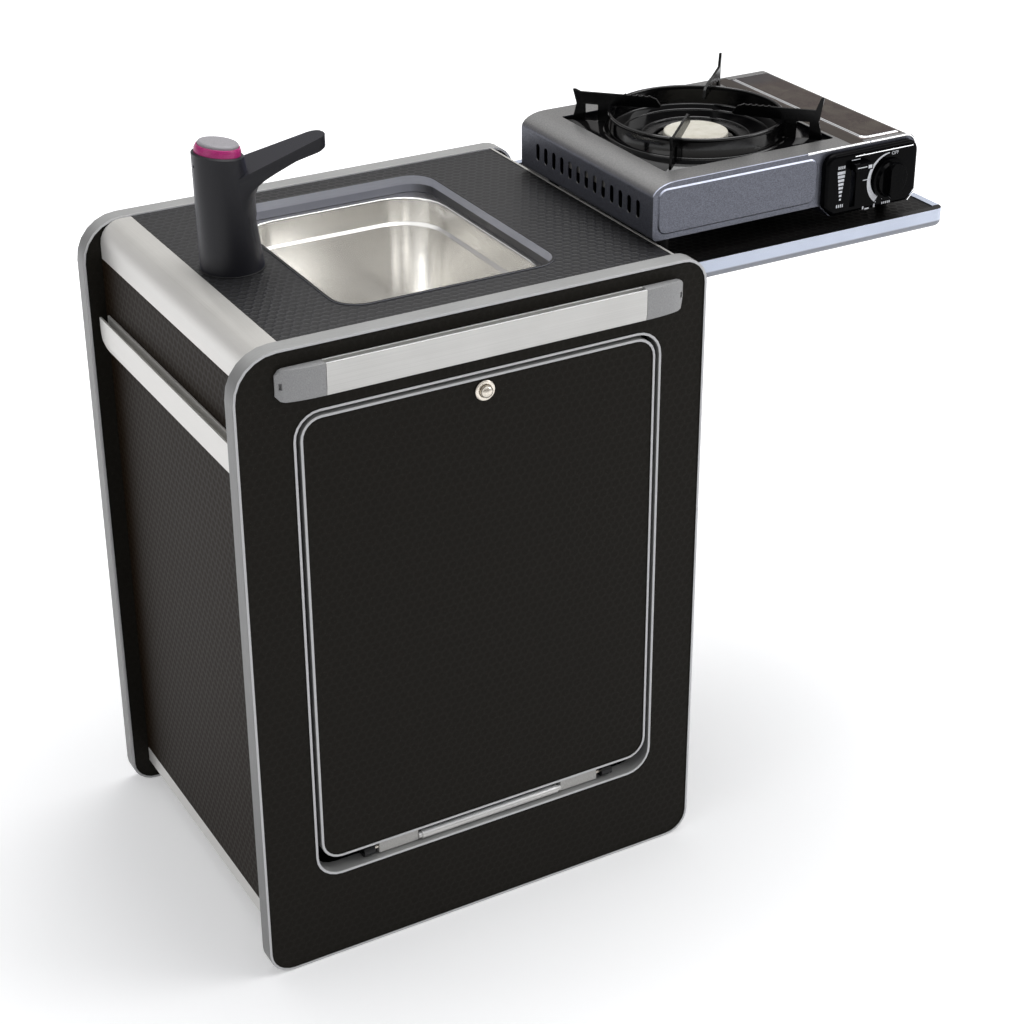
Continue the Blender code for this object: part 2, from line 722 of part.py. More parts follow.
def make_skid(name, left, pod):
    """A hollow aluminium section along the foot of a side. The side board and the base board stand on it."""
    outer = (left, left + SKID_WIDTH, SKID_BOTTOM, SKID_BOTTOM + SKID_HEIGHT, [PROFILE_WALL / 2] * 4)
    inner = (left + SKID_WALL, left + SKID_WIDTH - SKID_WALL, SKID_BOTTOM + SKID_WALL)
    hollow = (*inner, SKID_BOTTOM + SKID_HEIGHT - SKID_WALL, [PROFILE_WALL / 2] * 4)
    near, far = BOARD + FIT, BACK_INNER - FIT
    ends = ((outer, near), (outer, far), (hollow, far), (hollow, near))
    rings = [placed(rounded(*frame), "XZ", depth) for frame, depth in ends]
    piece(name, lofted(rings, closed=True), "aluminium", pod)


def make_sides(pod):
    """Side boards, their foot sections and the base board between them."""
    near, far = BOARD + FIT, BACK_INNER - FIT
    left_top = WORKTOP_TOP - PROFILE_HEIGHT - FIT
    bm = block(SIDE_LEFT, SIDE_LEFT + BOARD, near, far, SIDE_FOOT, left_top)
    piece("left_side_board", bm, "film_face", pod)
    bm = block(SIDE_RIGHT - BOARD, SIDE_RIGHT, near, far, SIDE_FOOT, SINK_TOP)
    piece("right_side_board", bm, "film_face", pod)
    make_skid("left_bottom_profile", SIDE_LEFT, pod)
    make_skid("right_bottom_profile", SIDE_RIGHT - SKID_WIDTH, pod)
    bm = block(SIDE_LEFT + BOARD + FIT, SIDE_RIGHT - BOARD - FIT, near, far, SIDE_FOOT, BASE_TOP)
    piece("base_board", bm, "film_face", pod)


def rail_section():
    """Section of a hanging rail: distance from the wall, and height. Hooks drop into its upper channel."""
    floor = RAIL_HEIGHT - RAIL_CHANNEL_DEPTH
    back = FIT + RAIL_WALL
    face = RAIL_DEPTH - RAIL_WALL
    return [
        (FIT, 0),
        (RAIL_DEPTH - RAIL_CREASE_BACK, 0),
        (RAIL_DEPTH, RAIL_CREASE_RISE),
        (RAIL_DEPTH, RAIL_HEIGHT),
        (face, RAIL_HEIGHT),
        (face, floor),
        (back, floor),
        (back, RAIL_HEIGHT),
        (FIT, RAIL_HEIGHT),
        (FIT, floor - RAIL_WALL),
        (face, floor - RAIL_WALL),
        (face, RAIL_WALL),
        (FIT, RAIL_WALL),
    ]


def make_front_rail(pod):
    """The hanging rail on the front panel, with its two tapered end caps."""
    left = FRONT_RAIL_CENTRE - FRONT_RAIL_LENGTH / 2
    right = FRONT_RAIL_CENTRE + FRONT_RAIL_LENGTH / 2
    section = [(-out, FRONT_RAIL_BOTTOM + rise) for out, rise in rail_section()]
    piece("front_hanging_rail", extruded(section, "YZ", left, right), "aluminium", pod)
    make_rail_cap("front_rail_cap_left", left - FIT, -1, pod)
    make_rail_cap("front_rail_cap_right", right + FIT, 1, pod)


def make_rail_cap(name, start, way, pod):
    """A moulded end cap: full depth at the rail, thin and round-cornered at its tip, with a small slot."""
    rings = []
    stations = 2 * CORNER_STEPS
    for station in range(stations + 1):
        share = station / stations
        run = share * CAP_LENGTH
        depth = CAP_TIP_DEPTH + (RAIL_DEPTH - CAP_TIP_DEPTH) * math.sqrt(1 - share * share)
        past = max(0, run - CAP_LENGTH + CAP_CORNER)
        drawn = CAP_CORNER - math.sqrt(CAP_CORNER * CAP_CORNER - past * past * CAP_CORNER_SHARE)
        low, high = FRONT_RAIL_BOTTOM + drawn, FRONT_RAIL_BOTTOM + RAIL_HEIGHT - drawn
        crease = min(RAIL_CREASE_BACK, depth - FIT - CAP_CREASE_LEAST)
        section = [(-FIT, low), (crease - depth, low), (-depth, low + RAIL_CREASE_RISE)]
        section += [(-depth, high), (-FIT, high)]
        rings.append(placed(section, "YZ", start + way * run))
    cap = piece(name, lofted(rings), "grey_plastic", pod)
    slot = start + way * (CAP_LENGTH - CAP_SLOT_FROM_TIP)
    middle = FRONT_RAIL_BOTTOM + RAIL_HEIGHT / 2
    width, height = CAP_SLOT_WIDTH / 2, CAP_SLOT_HEIGHT / 2
    low, high = middle - height, middle + height
    cut(cap, block(slot - width, slot + width, -RAIL_DEPTH, -CAP_SLOT_FLOOR, low, high))


def make_left_rail(pod):
    """The hanging rail on the left side. It ends short of the rear panel, with a round lower corner."""
    section = [(SIDE_LEFT - out, LEFT_RAIL_BOTTOM + rise) for out, rise in rail_section()]
    near, far = BOARD + FIT, BACK_INNER - LEFT_RAIL_END_GAP
    rail = piece("left_hanging_rail", extruded(section, "XZ", near, far), "aluminium", pod)
    radius = LEFT_RAIL_END_CORNER
    bend = arc((far - radius, LEFT_RAIL_BOTTOM + radius), radius, 270)
    outside = [(far + OVERRUN, LEFT_RAIL_BOTTOM - OVERRUN), (far - radius, LEFT_RAIL_BOTTOM - OVERRUN)]
    corner = [outside[1], *bend, (far + OVERRUN, LEFT_RAIL_BOTTOM + radius), outside[0]]
    cut(rail, extruded(corner, "YZ", SIDE_LEFT - RAIL_DEPTH - OVERRUN, SIDE_LEFT))


def cutout_frame():
    """The clear cut-out in the worktop, over the sink."""
    right, rear = CUTOUT_LEFT + CUTOUT_WIDTH, CUTOUT_FRONT + CUTOUT_DEPTH
    return (CUTOUT_LEFT, right, CUTOUT_FRONT, rear, [CUTOUT_CORNER] * 4)


def make_worktop(pod):
    """The worktop board with its sink cut-out, tap hole, cut-out band and right edge band."""
    left = SIDE_LEFT + PROFILE_WIDTH + FIT
    right = SIDE_RIGHT - BAND - FIT
    bm = block(left, right, BETWEEN_FRONT, BETWEEN_BACK, WORKTOP_UNDER, WORKTOP_TOP)
    top = piece("worktop", bm, "film_face", pod)
    hole = rounded(*inset(cutout_frame(), -BAND - FIT))
    cut(top, extruded(hole, "XY", WORKTOP_UNDER - OVERRUN, WORKTOP_TOP + OVERRUN))
    cut(top, peg(TAP_HOLE_RADIUS, -BOARD - OVERRUN, OVERRUN, (TAP_X, TAP_Y, WORKTOP_TOP)))
    band_round("sink_cutout_band", cutout_frame(), "XY", WORKTOP_UNDER, BOARD, -1, pod)
    low = WORKTOP_UNDER - FIT - BAND_LIP_THICKNESS
    high = WORKTOP_TOP + FIT + BAND_LIP_THICKNESS
    section = [
        (SIDE_RIGHT - BAND_LIP, low),
        (SIDE_RIGHT, low),
        (SIDE_RIGHT, high - BAND_CHAMFER),
        (SIDE_RIGHT - BAND_CHAMFER, high),
        (SIDE_RIGHT - BAND_LIP, high),
        (SIDE_RIGHT - BAND_LIP, WORKTOP_TOP + FIT),
        (SIDE_RIGHT - BAND, WORKTOP_TOP + FIT),
        (SIDE_RIGHT - BAND, WORKTOP_UNDER - FIT),
        (SIDE_RIGHT - BAND_LIP, WORKTOP_UNDER - FIT),
    ]
    piece("worktop_edge_band", extruded(section, "XZ", BETWEEN_FRONT, BETWEEN_BACK), "aluminium", pod)


def sink_ring(half_x, half_y, radius, height, shift=0):
    """A level ring of the sink bowl, round the cut-out's middle."""
    x, y = SINK_CENTRE_X, SINK_CENTRE_Y + shift
    frame = (x - half_x, x + half_x, y - half_y, y + half_y, [radius] * 4)
    return placed(rounded(*frame), "XY", height)


def bowl_surface(sheet):
    """Rings of the bowl from its rim to the drain hole. Sheet is zero inside, and the wall outside."""
    half_x, half_y = SINK_RIM_WIDTH / 2 + sheet, SINK_RIM_DEPTH / 2 + sheet
    corner = SINK_RIM_CORNER + sheet
    rings = []
    rim = SINK_RIM_RADIUS - sheet
    for share in SINK_RIM_SHARES:
        turn = share * math.pi / 2
        out = rim * (1 - math.sin(turn))
        height = SINK_TOP - sheet - rim * (1 - math.cos(turn))
        rings.append(sink_ring(half_x + out, half_y + out, corner + out, height))
    for drawn in (0, SINK_SHOULDER_INSET):
        height = SINK_TOP - SINK_SHOULDER_DROP - drawn
        rings.append(sink_ring(half_x - drawn, half_y - drawn, corner - drawn, height))
    drawn = SINK_SHOULDER_INSET + SINK_DRAFT
    bend = SINK_BOTTOM_RADIUS + sheet
    for share in SINK_BEND_SHARES:
        turn = share * math.pi / 2
        inward = drawn + bend * (1 - math.cos(turn))
        height = SINK_FLOOR - sheet + bend * (1 - math.sin(turn))
        rings.append(sink_ring(half_x - inward, half_y - inward, corner - inward * SINK_CORNER_SHARE, height))
    hole = DRAIN_HOLE_RADIUS
    rings.append(sink_ring(hole, hole, hole, SINK_FLOOR - sheet, DRAIN_Y - SINK_CENTRE_Y))
    return rings


def make_sink(pod):
    """The pressed steel bowl under the worktop, with its flange, its shoulder and its drain hole."""
    half_x, half_y = SINK_FLANGE_WIDTH / 2, SINK_FLANGE_DEPTH / 2
    inner = [sink_ring(half_x, half_y, SINK_FLANGE_CORNER, SINK_TOP), *bowl_surface(0)]
    outer = [sink_ring(half_x, half_y, SINK_FLANGE_CORNER, SINK_TOP - SINK_SHEET), *bowl_surface(SINK_SHEET)]
    piece("sink_bowl", lofted(inner + outer[::-1], closed=True), "sink_steel", pod)
    make_drain(pod)
    make_holder("sink_holder_front", SINK_CENTRE_Y - half_y, -1, pod)
    make_holder("sink_holder_rear", SINK_CENTRE_Y + half_y, 1, pod)


def make_drain(pod):
    """The waste fitting: a flange in the bowl, a nut under it and a spigot for the hose."""
    top = FIT + DRAIN_FLANGE_THICKNESS
    under = -SINK_SHEET - FIT
    nut = under - DRAIN_NUT_HEIGHT
    end = nut - DRAIN_SPIGOT_HEIGHT
    seat = DRAIN_HOLE_RADIUS - FIT
    profile = [
        (DRAIN_BORE_RADIUS, top),
        (DRAIN_FLANGE_RADIUS, top),
        (DRAIN_FLANGE_RADIUS, FIT),
        (seat, FIT),
        (seat, under),
        (DRAIN_NUT_RADIUS, under),
        (DRAIN_NUT_RADIUS, nut),
        (DRAIN_SPIGOT_RADIUS, nut),
        (DRAIN_SPIGOT_RADIUS, end),
        (DRAIN_SPIGOT_BORE_RADIUS, end),
        (DRAIN_SPIGOT_BORE_RADIUS, under),
        (DRAIN_BORE_RADIUS, under),
    ]
    place = (SINK_CENTRE_X, DRAIN_Y, SINK_FLOOR)
    piece("drain_fitting", turned(profile, place, closed=True), "steel", pod)


def make_holder(name, edge, way, pod):
    """A folded strip screwed under the worktop, whose lip carries the sink's flange."""
    under = SINK_TOP - SINK_SHEET - FIT
    roof = WORKTOP_UNDER - FIT
    web = edge + way * FIT
    outline = [
        (edge - way * HOLDER_LIP, under),
        (edge - way * HOLDER_LIP, under - HOLDER_SHEET),
        (web + way * HOLDER_SHEET, under - HOLDER_SHEET),
        (web + way * HOLDER_SHEET, roof - HOLDER_SHEET),
        (web + way * HOLDER_FOOT, roof - HOLDER_SHEET),
        (web + way * HOLDER_FOOT, roof),
        (web, roof),
        (web, under),
    ]
    left, right = SINK_CENTRE_X - HOLDER_LENGTH / 2, SINK_CENTRE_X + HOLDER_LENGTH / 2
    piece(name, extruded(outline, "YZ", left, right), "aluminium", pod)


def leaf_frame():
    """The table leaf's outline, round the outside of its edge band."""
    return (LEAF_LEFT, LEAF_RIGHT, LEAF_BOTTOM, LEAF_TOP, [LEAF_CORNER] * 4)


def make_leaf(leaf):
    """The drop-down table leaf, with the hole for its lock."""
    board = board_in("table_leaf", leaf_frame(), "XZ", 0, BOARD, leaf)
    radius = LOCK_BARREL_RADIUS + FIT
    cut(board, peg(radius, -OVERRUN, BOARD + OVERRUN, (OPENING_CENTRE, 0, LOCK_HEIGHT), BACK))
    band_round("leaf_edge_band", leaf_frame(), "XZ", 0, BOARD, 1, leaf)


def make_leaf_hinge(pod, leaf):
    """Hinge blocks under the leaf with the hook bar between them, their pins, and the pins' brackets."""
    left = OPENING_LEFT + BLOCK_FROM_OPENING
    right = 2 * OPENING_CENTRE - left + BLOCK_OFFSET
    make_block("hinge_block_left", left, left + BLOCK_WIDTH, leaf)
    make_block("hinge_block_right", right - BLOCK_WIDTH, right, leaf)
    make_hook_bar(left + BLOCK_WIDTH + FIT, right - BLOCK_WIDTH - FIT, leaf)
    for side, edge, way in (("left", left, -1), ("right", right, 1)):
        start = edge - way * HINGE_PIN_GRIP
        place = (start, HINGE_AXIS_DEPTH, HINGE_HEIGHT)
        pin = peg(HINGE_PIN_RADIUS, 0, HINGE_PIN_LENGTH, place, way * RIGHT, PIN_STEPS)
        piece(f"hinge_pin_{side}", pin, "steel", leaf)
        near = edge + way * BRACKET_FROM_BLOCK
        make_bracket(f"hinge_bracket_{side}", *sorted((near, near + way * BRACKET_WIDTH)), pod)


def pin_bore(left, right):
    """A cutter for the hinge pin's bore, from one side to the other."""
    radius = HINGE_PIN_RADIUS + FIT
    length = right - left
    return peg(radius, 0, length, (left, HINGE_AXIS_DEPTH, HINGE_HEIGHT), RIGHT, PIN_STEPS)


def make_block(name, left, right, leaf):
    """A moulded block: a round heel about the pin, and a plate screwed to the back of the leaf."""
    axis = (HINGE_AXIS_DEPTH, HINGE_HEIGHT)
    roof = LEAF_BOTTOM - FIT
    face = HINGE_AXIS_DEPTH - BLOCK_FACE_DEPTH
    start = 180 + math.degrees(math.acos(face / HINGE_HEEL_RADIUS))
    heel = arc(axis, HINGE_HEEL_RADIUS, start, 360 - start)
    plate = LEAF_BACK + BLOCK_PLATE
    outline = [
        (BLOCK_FACE_DEPTH, roof),
        *heel,
        (plate, HINGE_HEIGHT + BLOCK_PLATE),
        (plate, LEAF_BOTTOM + BLOCK_PLATE_RISE),
        (LEAF_BACK, LEAF_BOTTOM + BLOCK_PLATE_RISE),
        (LEAF_BACK, roof),
    ]
    moulding = piece(name, extruded(outline, "YZ", left, right), "grey_plastic", leaf)
    depth = HINGE_PIN_GRIP + FIT
    if left < OPENING_CENTRE:
        cut(moulding, pin_bore(left - OVERRUN, left + depth))
    else:
        cut(moulding, pin_bore(right - depth, right + OVERRUN))


def make_hook_bar(left, right, leaf):
    """The stepped bar between the hinge blocks. It hooks into a hanging rail when the leaf is used there."""
    axis = (HINGE_AXIS_DEPTH, HINGE_HEIGHT)
    lower = arc(axis, HOOK_BAR_RADIUS, 205, 130)
    front, back = lower[0], lower[-1]
    step = front[0] + HOOK_BAR_STEP_DEPTH
    outline = [
        *lower,
        (back[0], HINGE_HEIGHT + HOOK_BAR_STEP_HEIGHT),
        (HINGE_AXIS_DEPTH + HOOK_BAR_STEP_DEPTH, HINGE_HEIGHT + HOOK_BAR_STEP_HEIGHT),
        (HINGE_AXIS_DEPTH + HOOK_BAR_STEP_DEPTH, HINGE_HEIGHT + HOOK_BAR_TOP_RISE),
        (step, HINGE_HEIGHT + HOOK_BAR_TOP_RISE),
        (step, HINGE_HEIGHT - HOOK_BAR_STEP_HEIGHT),
        (front[0], HINGE_HEIGHT - HOOK_BAR_STEP_HEIGHT),
    ]
    piece("leaf_hook_bar", extruded(outline, "YZ", left, right), "aluminium", leaf)


def make_bracket(name, left, right, pod):
    """A fixed bracket: an eye round the hinge pin, and a plate screwed behind the front panel."""
    axis = (HINGE_AXIS_DEPTH, HINGE_HEIGHT)
    eye = arc(axis, BRACKET_EYE_RADIUS, 90, 180, 2 * CORNER_STEPS)
    plate = BOARD + FIT
    step = LEAF_BACK
    outline = [
        *eye,
        (step, HINGE_HEIGHT - BRACKET_EYE_RADIUS),
        (step, HINGE_HEIGHT - BRACKET_STEP_DROP),
        (plate, HINGE_HEIGHT - BRACKET_STEP_DROP),
        (plate, HINGE_HEIGHT - BRACKET_DROP),
        (plate + BRACKET_PLATE, HINGE_HEIGHT - BRACKET_DROP),
        (plate + BRACKET_PLATE, HINGE_HEIGHT + BRACKET_EYE_RADIUS),
    ]
    bracket = piece(name, extruded(outline, "YZ", left, right), "black_plastic", pod)
    cut(bracket, pin_bore(left - OVERRUN, right + OVERRUN))


def make_lock(leaf):
    """The push lock: a case with a rosette and barrel, the domed button, and the bolt behind the panel."""
    centre = OPENING_CENTRE
    place = (centre, 0, LOCK_HEIGHT)
    case_back = LEAF_BACK + LOCK_CASE_DEPTH
    half = LOCK_CASE_WIDTH / 2
    top = LOCK_HEIGHT + LOCK_CASE_ABOVE
    bm = block(centre - half, centre + half, LEAF_BACK, case_back, LOCK_HEIGHT - LOCK_CASE_BELOW, top)
    case = piece("lock_case", bm, "steel", leaf)
    slot_near = LEAF_BACK + LOCK_SLOT_WALL
    slot_far = slot_near + LOCK_BOLT_THICKNESS + 2 * FIT
    slot_half = LOCK_BOLT_WIDTH / 2 + FIT
    floor = LOCK_HEIGHT - LOCK_BOLT_BELOW - LOCK_SLOT_SPARE
    cut(case, block(centre - slot_half, centre + slot_half, slot_near, slot_far, floor, top + OVERRUN))
    face = -FIT - LOCK_ROSETTE_THICKNESS
    bore = LOCK_BUTTON_RADIUS + FIT
    floor = LOCK_BUTTON_INSIDE + LOCK_TRAVEL + FIT
    barrel_end = LEAF_BACK + LOCK_SLOT_WALL / 2
    barrel = [
        (0, floor),
        (bore, floor),
        (bore, face),
        (LOCK_ROSETTE_RADIUS - LOCK_ROSETTE_THICKNESS / 2, face),
        (LOCK_ROSETTE_RADIUS, face + LOCK_ROSETTE_THICKNESS / 2),
        (LOCK_ROSETTE_RADIUS, -FIT),
        (LOCK_BARREL_RADIUS, -FIT),
        (LOCK_BARREL_RADIUS, barrel_end),
        (0, barrel_end),
    ]
    join(case, turned(barrel, place, BACK))
    half = LOCK_BOLT_WIDTH / 2
    foot = LOCK_HEIGHT - LOCK_BOLT_BELOW
    bm = block(centre - half, centre + half, slot_near + FIT, slot_far - FIT, foot, top)
    piece("lock_bolt", bm, "steel", leaf, (centre, slot_near, LOCK_HEIGHT))
    crown = LOCK_BUTTON_STANDOUT - LOCK_BUTTON_DOME
    dome = [
        (LOCK_BUTTON_RADIUS * math.sin(turn), -crown - LOCK_BUTTON_DOME * math.cos(turn))
        for turn in [math.pi / 2 * step / CORNER_STEPS for step in range(CORNER_STEPS + 1)]
    ]
    dome += [(LOCK_BUTTON_RADIUS, LOCK_BUTTON_INSIDE), (0, LOCK_BUTTON_INSIDE)]
    piece("lock_button", turned(dome, place, BACK), "steel", leaf, place)


def tap_centre(height):
    """Middle of the leaning tap body, at a height over its seat."""
    return TAP_X + TAP_TOP_SHIFT * height / TAP_BODY_HEIGHT


def tap_radius(height):
    """Radius of the tapered tap body, at a height over its seat."""
    return TAP_BASE_RADIUS + (TAP_TOP_RADIUS - TAP_BASE_RADIUS) * height / TAP_BODY_HEIGHT


def tap_ring_points(height, drawn, slope):
    """A ring of the tap body, drawn in by an amount. It falls to the right by its slope."""
    middle = tap_centre(height)
    points = circle((middle, TAP_Y, WORKTOP_TOP + FIT + height), tap_radius(height) - drawn)
    return [point - UP * slope * (point.x - middle) for point in points]


def make_tap(pod):
    """The pump tap: a leaning body with a moulded spout, a coloured ring and the button in it."""
    seat = WORKTOP_TOP + FIT
    slope = math.tan(math.radians(TAP_TOP_TILT))
    levels = (
        (0, 0, 0),
        (TAP_RIM_ROUND, 0, 0),
        (TAP_BODY_HEIGHT - TAP_RIM_ROUND, 0, slope),
        (TAP_BODY_HEIGHT, TAP_RIM_ROUND, slope),
    )
    body = piece("tap_body", lofted([tap_ring_points(*level) for level in levels]), "tap_plastic", pod)
    join(body, lofted([spout_ring(shares) for shares in SPOUT_SHARES]))
    join(body, peg(TAP_STEM_RADIUS, OVERRUN, -TAP_STEM_LENGTH, (TAP_X, TAP_Y, seat)))
    top = Vector((TAP_X + TAP_TOP_SHIFT, TAP_Y, seat + TAP_BODY_HEIGHT))
    recess = TAP_RING_RADIUS + FIT
    floor = -TAP_RING_SEAT - FIT
    cut(body, peg(recess, floor, OVERRUN, top, TAP_AXIS))
    low = TAP_BODY_HEIGHT - TAP_VENT_DROP
    mouth = tap_centre(low) - tap_radius(low)
    place = (mouth, TAP_Y, seat + low)
    cut(body, peg(TAP_VENT_RADIUS, -OVERRUN, TAP_VENT_DEPTH, place, RIGHT, PIN_STEPS))
    outer, inner = TAP_RING_RADIUS, TAP_RING_RADIUS - TAP_RING_WALL
    ring = [
        (outer, -TAP_RING_SEAT),
        (outer, TAP_RING_RISE / 2),
        (outer - TAP_RIM_ROUND, TAP_RING_RISE),
        (inner, TAP_RING_RISE),
        (inner, -TAP_RING_SEAT),
    ]
    piece("tap_ring", turned(ring, top, TAP_AXIS, closed=True), "tap_ring", pod)
    radius = inner - FIT
    under = TAP_BUTTON_RISE - TAP_BUTTON_DEPTH
    button = [(0, under), (radius, under), (radius, TAP_BUTTON_RISE - TAP_RIM_ROUND)]
    button += [(radius - TAP_RIM_ROUND, TAP_BUTTON_RISE), (0, TAP_BUTTON_RISE)]
    piece("tap_button", turned(button, top, TAP_AXIS), "tap_button", pod, top)


def circle(centre, radius, steps=ROUND_STEPS):
    """A level ring of points."""
    turns = [math.tau * step / steps for step in range(steps)]
    return [Vector(centre) + Vector((radius * math.cos(turn), radius * math.sin(turn), 0)) for turn in turns]


def spout_ring(shares):
    """One ring of the spout: the body's circle and a smaller one at the nose, joined by their tangents."""
    root_share, reach_share, lip_share = shares
    level = TAP_SPOUT_ROOT * root_share
    lip = (TAP_SPOUT_ROOT + TAP_SPOUT_RISE) * lip_share
    radius = tap_radius(level) - TAP_SPOUT_DRAWN_IN
    taper = (radius - TAP_SPOUT_TIP_RADIUS) / (TAP_SPOUT_REACH - TAP_SPOUT_TIP_RADIUS)
    grown = (TAP_SPOUT_REACH - radius) * reach_share
    out = grown / (1 - taper)
    lean = math.degrees(math.acos(taper))
    outline = arc((0, 0), radius, lean, 360 - 2 * lean, 2 * TAP_SPOUT_STEPS)
    outline += arc((out, 0), radius - taper * out, -lean, 2 * lean, TAP_SPOUT_STEPS)
    rise = (lip - level) / (radius + grown)
    start = Vector((tap_centre(level), TAP_Y, WORKTOP_TOP + FIT + level))
    return [start + Vector((across, along, rise * across)) for across, along in outline]


def make_canister(name, left, hose_radius, colour, pod):
    """A water canister with drawn-in top edges, a carrying handle and a ribbed cap that holds its hose."""
    right, far = left + CANISTER_WIDTH, CANISTER_FRONT + CANISTER_DEPTH
    foot = BASE_TOP + FIT
    roof = foot + CANISTER_HEIGHT
    frame = (left, right, CANISTER_FRONT, far, [CANISTER_CORNER] * 4)
    chamfer = CANISTER_CORNER / 2
    levels = (
        (foot, chamfer / 2),
        (foot + chamfer / 2, 0),
        (roof - chamfer, CANISTER_TAPER),
        (roof, CANISTER_TAPER + chamfer),
    )
    rings = [placed(rounded(*inset(frame, drawn)), "XY", height) for height, drawn in levels]
    tank = piece(name, lofted(rings), "white_tank", pod)
    neck = Vector((left + NECK_FROM_LEFT, CANISTER_FRONT + NECK_FROM_FRONT, roof))
    join(tank, peg(NECK_RADIUS, -OVERRUN, NECK_HEIGHT, neck))
    middle = left + CANISTER_WIDTH / 2
    half = CANISTER_GRIP_WIDTH / 2
    rear = far - CANISTER_CORNER
    front = neck.y + CAP_RADIUS + CANISTER_GRIP_FROM_CAP
    radius = CANISTER_CORNER / 2
    grip = (front, rear, roof - OVERRUN, roof + CANISTER_GRIP_HEIGHT, [0, 0, radius, radius])
    join(tank, extruded(rounded(*grip), "YZ", middle - half, middle + half))
    wall = (CANISTER_GRIP_HEIGHT - CANISTER_GRIP_HOLE) / 2
    hole = (front + wall, rear - wall, roof + wall, roof + wall + CANISTER_GRIP_HOLE, [wall / 2] * 4)
    cut(tank, extruded(rounded(*hole), "YZ", middle - half - OVERRUN, middle + half + OVERRUN))
    make_cap(f"{name}_cap", neck, hose_radius, colour, pod)
    return neck


def make_cap(name, neck, hose_radius, colour, pod):
    """A ribbed screw cap over a canister's neck, with a bore for the hose."""
    rings = []
    for height in (FIT, CAP_HEIGHT - CAP_WALL, CAP_HEIGHT):
        ring = []
        drawn = CAP_WALL / 2 if height == CAP_HEIGHT else 0
        for step in range(2 * CAP_RIBS):
            radius = CAP_RADIUS - drawn - (CAP_RIB_DEPTH if step % 2 else 0)
            turn = math.tau * step / (2 * CAP_RIBS)
            ring.append(neck + Vector((radius * math.cos(turn), radius * math.sin(turn), height)))
        rings.append(ring)
    cap = piece(name, lofted(rings), colour, pod)
    inside = NECK_RADIUS + FIT
    deep = NECK_HEIGHT + FIT
    cut(cap, peg(inside, -OVERRUN, deep, neck))
    bore = hose_radius + FIT
    cut(cap, peg(bore, deep - OVERRUN, CAP_HEIGHT + OVERRUN, neck))


def make_hose(name, top, neck, radius, pod):
    """A hose that leaves its upper end straight down and enters a canister's cap straight down."""
    bottom = neck + UP * (NECK_HEIGHT + 2 * FIT)
    stub, lead = UP * HOSE_STUB, UP * HOSE_LEAD
    controls = (top - stub, top - lead, bottom + 2 * lead, bottom + stub)
    places = [top]
    for step in range(HOSE_STEPS + 1):
        share = step / HOSE_STEPS
        rest = 1 - share
        weights = (rest**3, 3 * rest**2 * share, 3 * rest * share**2, share**3)
        places.append(sum((control * weight for control, weight in zip(controls, weights)), Vector()))
    places.append(bottom)
    curve = bpy.data.curves.new(name, "CURVE")
    curve.dimensions = "3D"
    spline = curve.splines.new("POLY")
    spline.points.add(len(places) - 1)
    for point, place in zip(spline.points, places):
        point.co = (*place, 1)
    curve.bevel_depth = radius
    curve.bevel_resolution = 2
    curve.use_fill_caps = True
    hose = bpy.data.objects.new(name, curve)
    bpy.context.scene.collection.objects.link(hose)
    hose.parent = pod
    curve.materials.append(finish_of(name, "hose"))


def make_water(pod):
    """The fresh and waste canisters on the base board, and the hoses to the tap and from the sink."""
    fresh = make_canister("fresh_water_canister", FRESH_LEFT, WATER_HOSE_RADIUS, "blue_cap", pod)
    waste_left = SIDE_RIGHT - BOARD - WASTE_RIGHT_GAP - CANISTER_WIDTH
    waste = make_canister("waste_water_canister", waste_left, DRAIN_HOSE_RADIUS, "grey_plastic", pod)
    tap_end = Vector((TAP_X, TAP_Y, WORKTOP_TOP - TAP_STEM_LENGTH))
    make_hose("water_hose", tap_end, fresh, WATER_HOSE_RADIUS, pod)
    drop = SINK_SHEET + DRAIN_NUT_HEIGHT + DRAIN_SPIGOT_HEIGHT + 2 * FIT
    drain_end = Vector((SINK_CENTRE_X, DRAIN_Y, SINK_FLOOR - drop))
    make_hose("drain_hose", drain_end, waste, DRAIN_HOSE_RADIUS, pod)


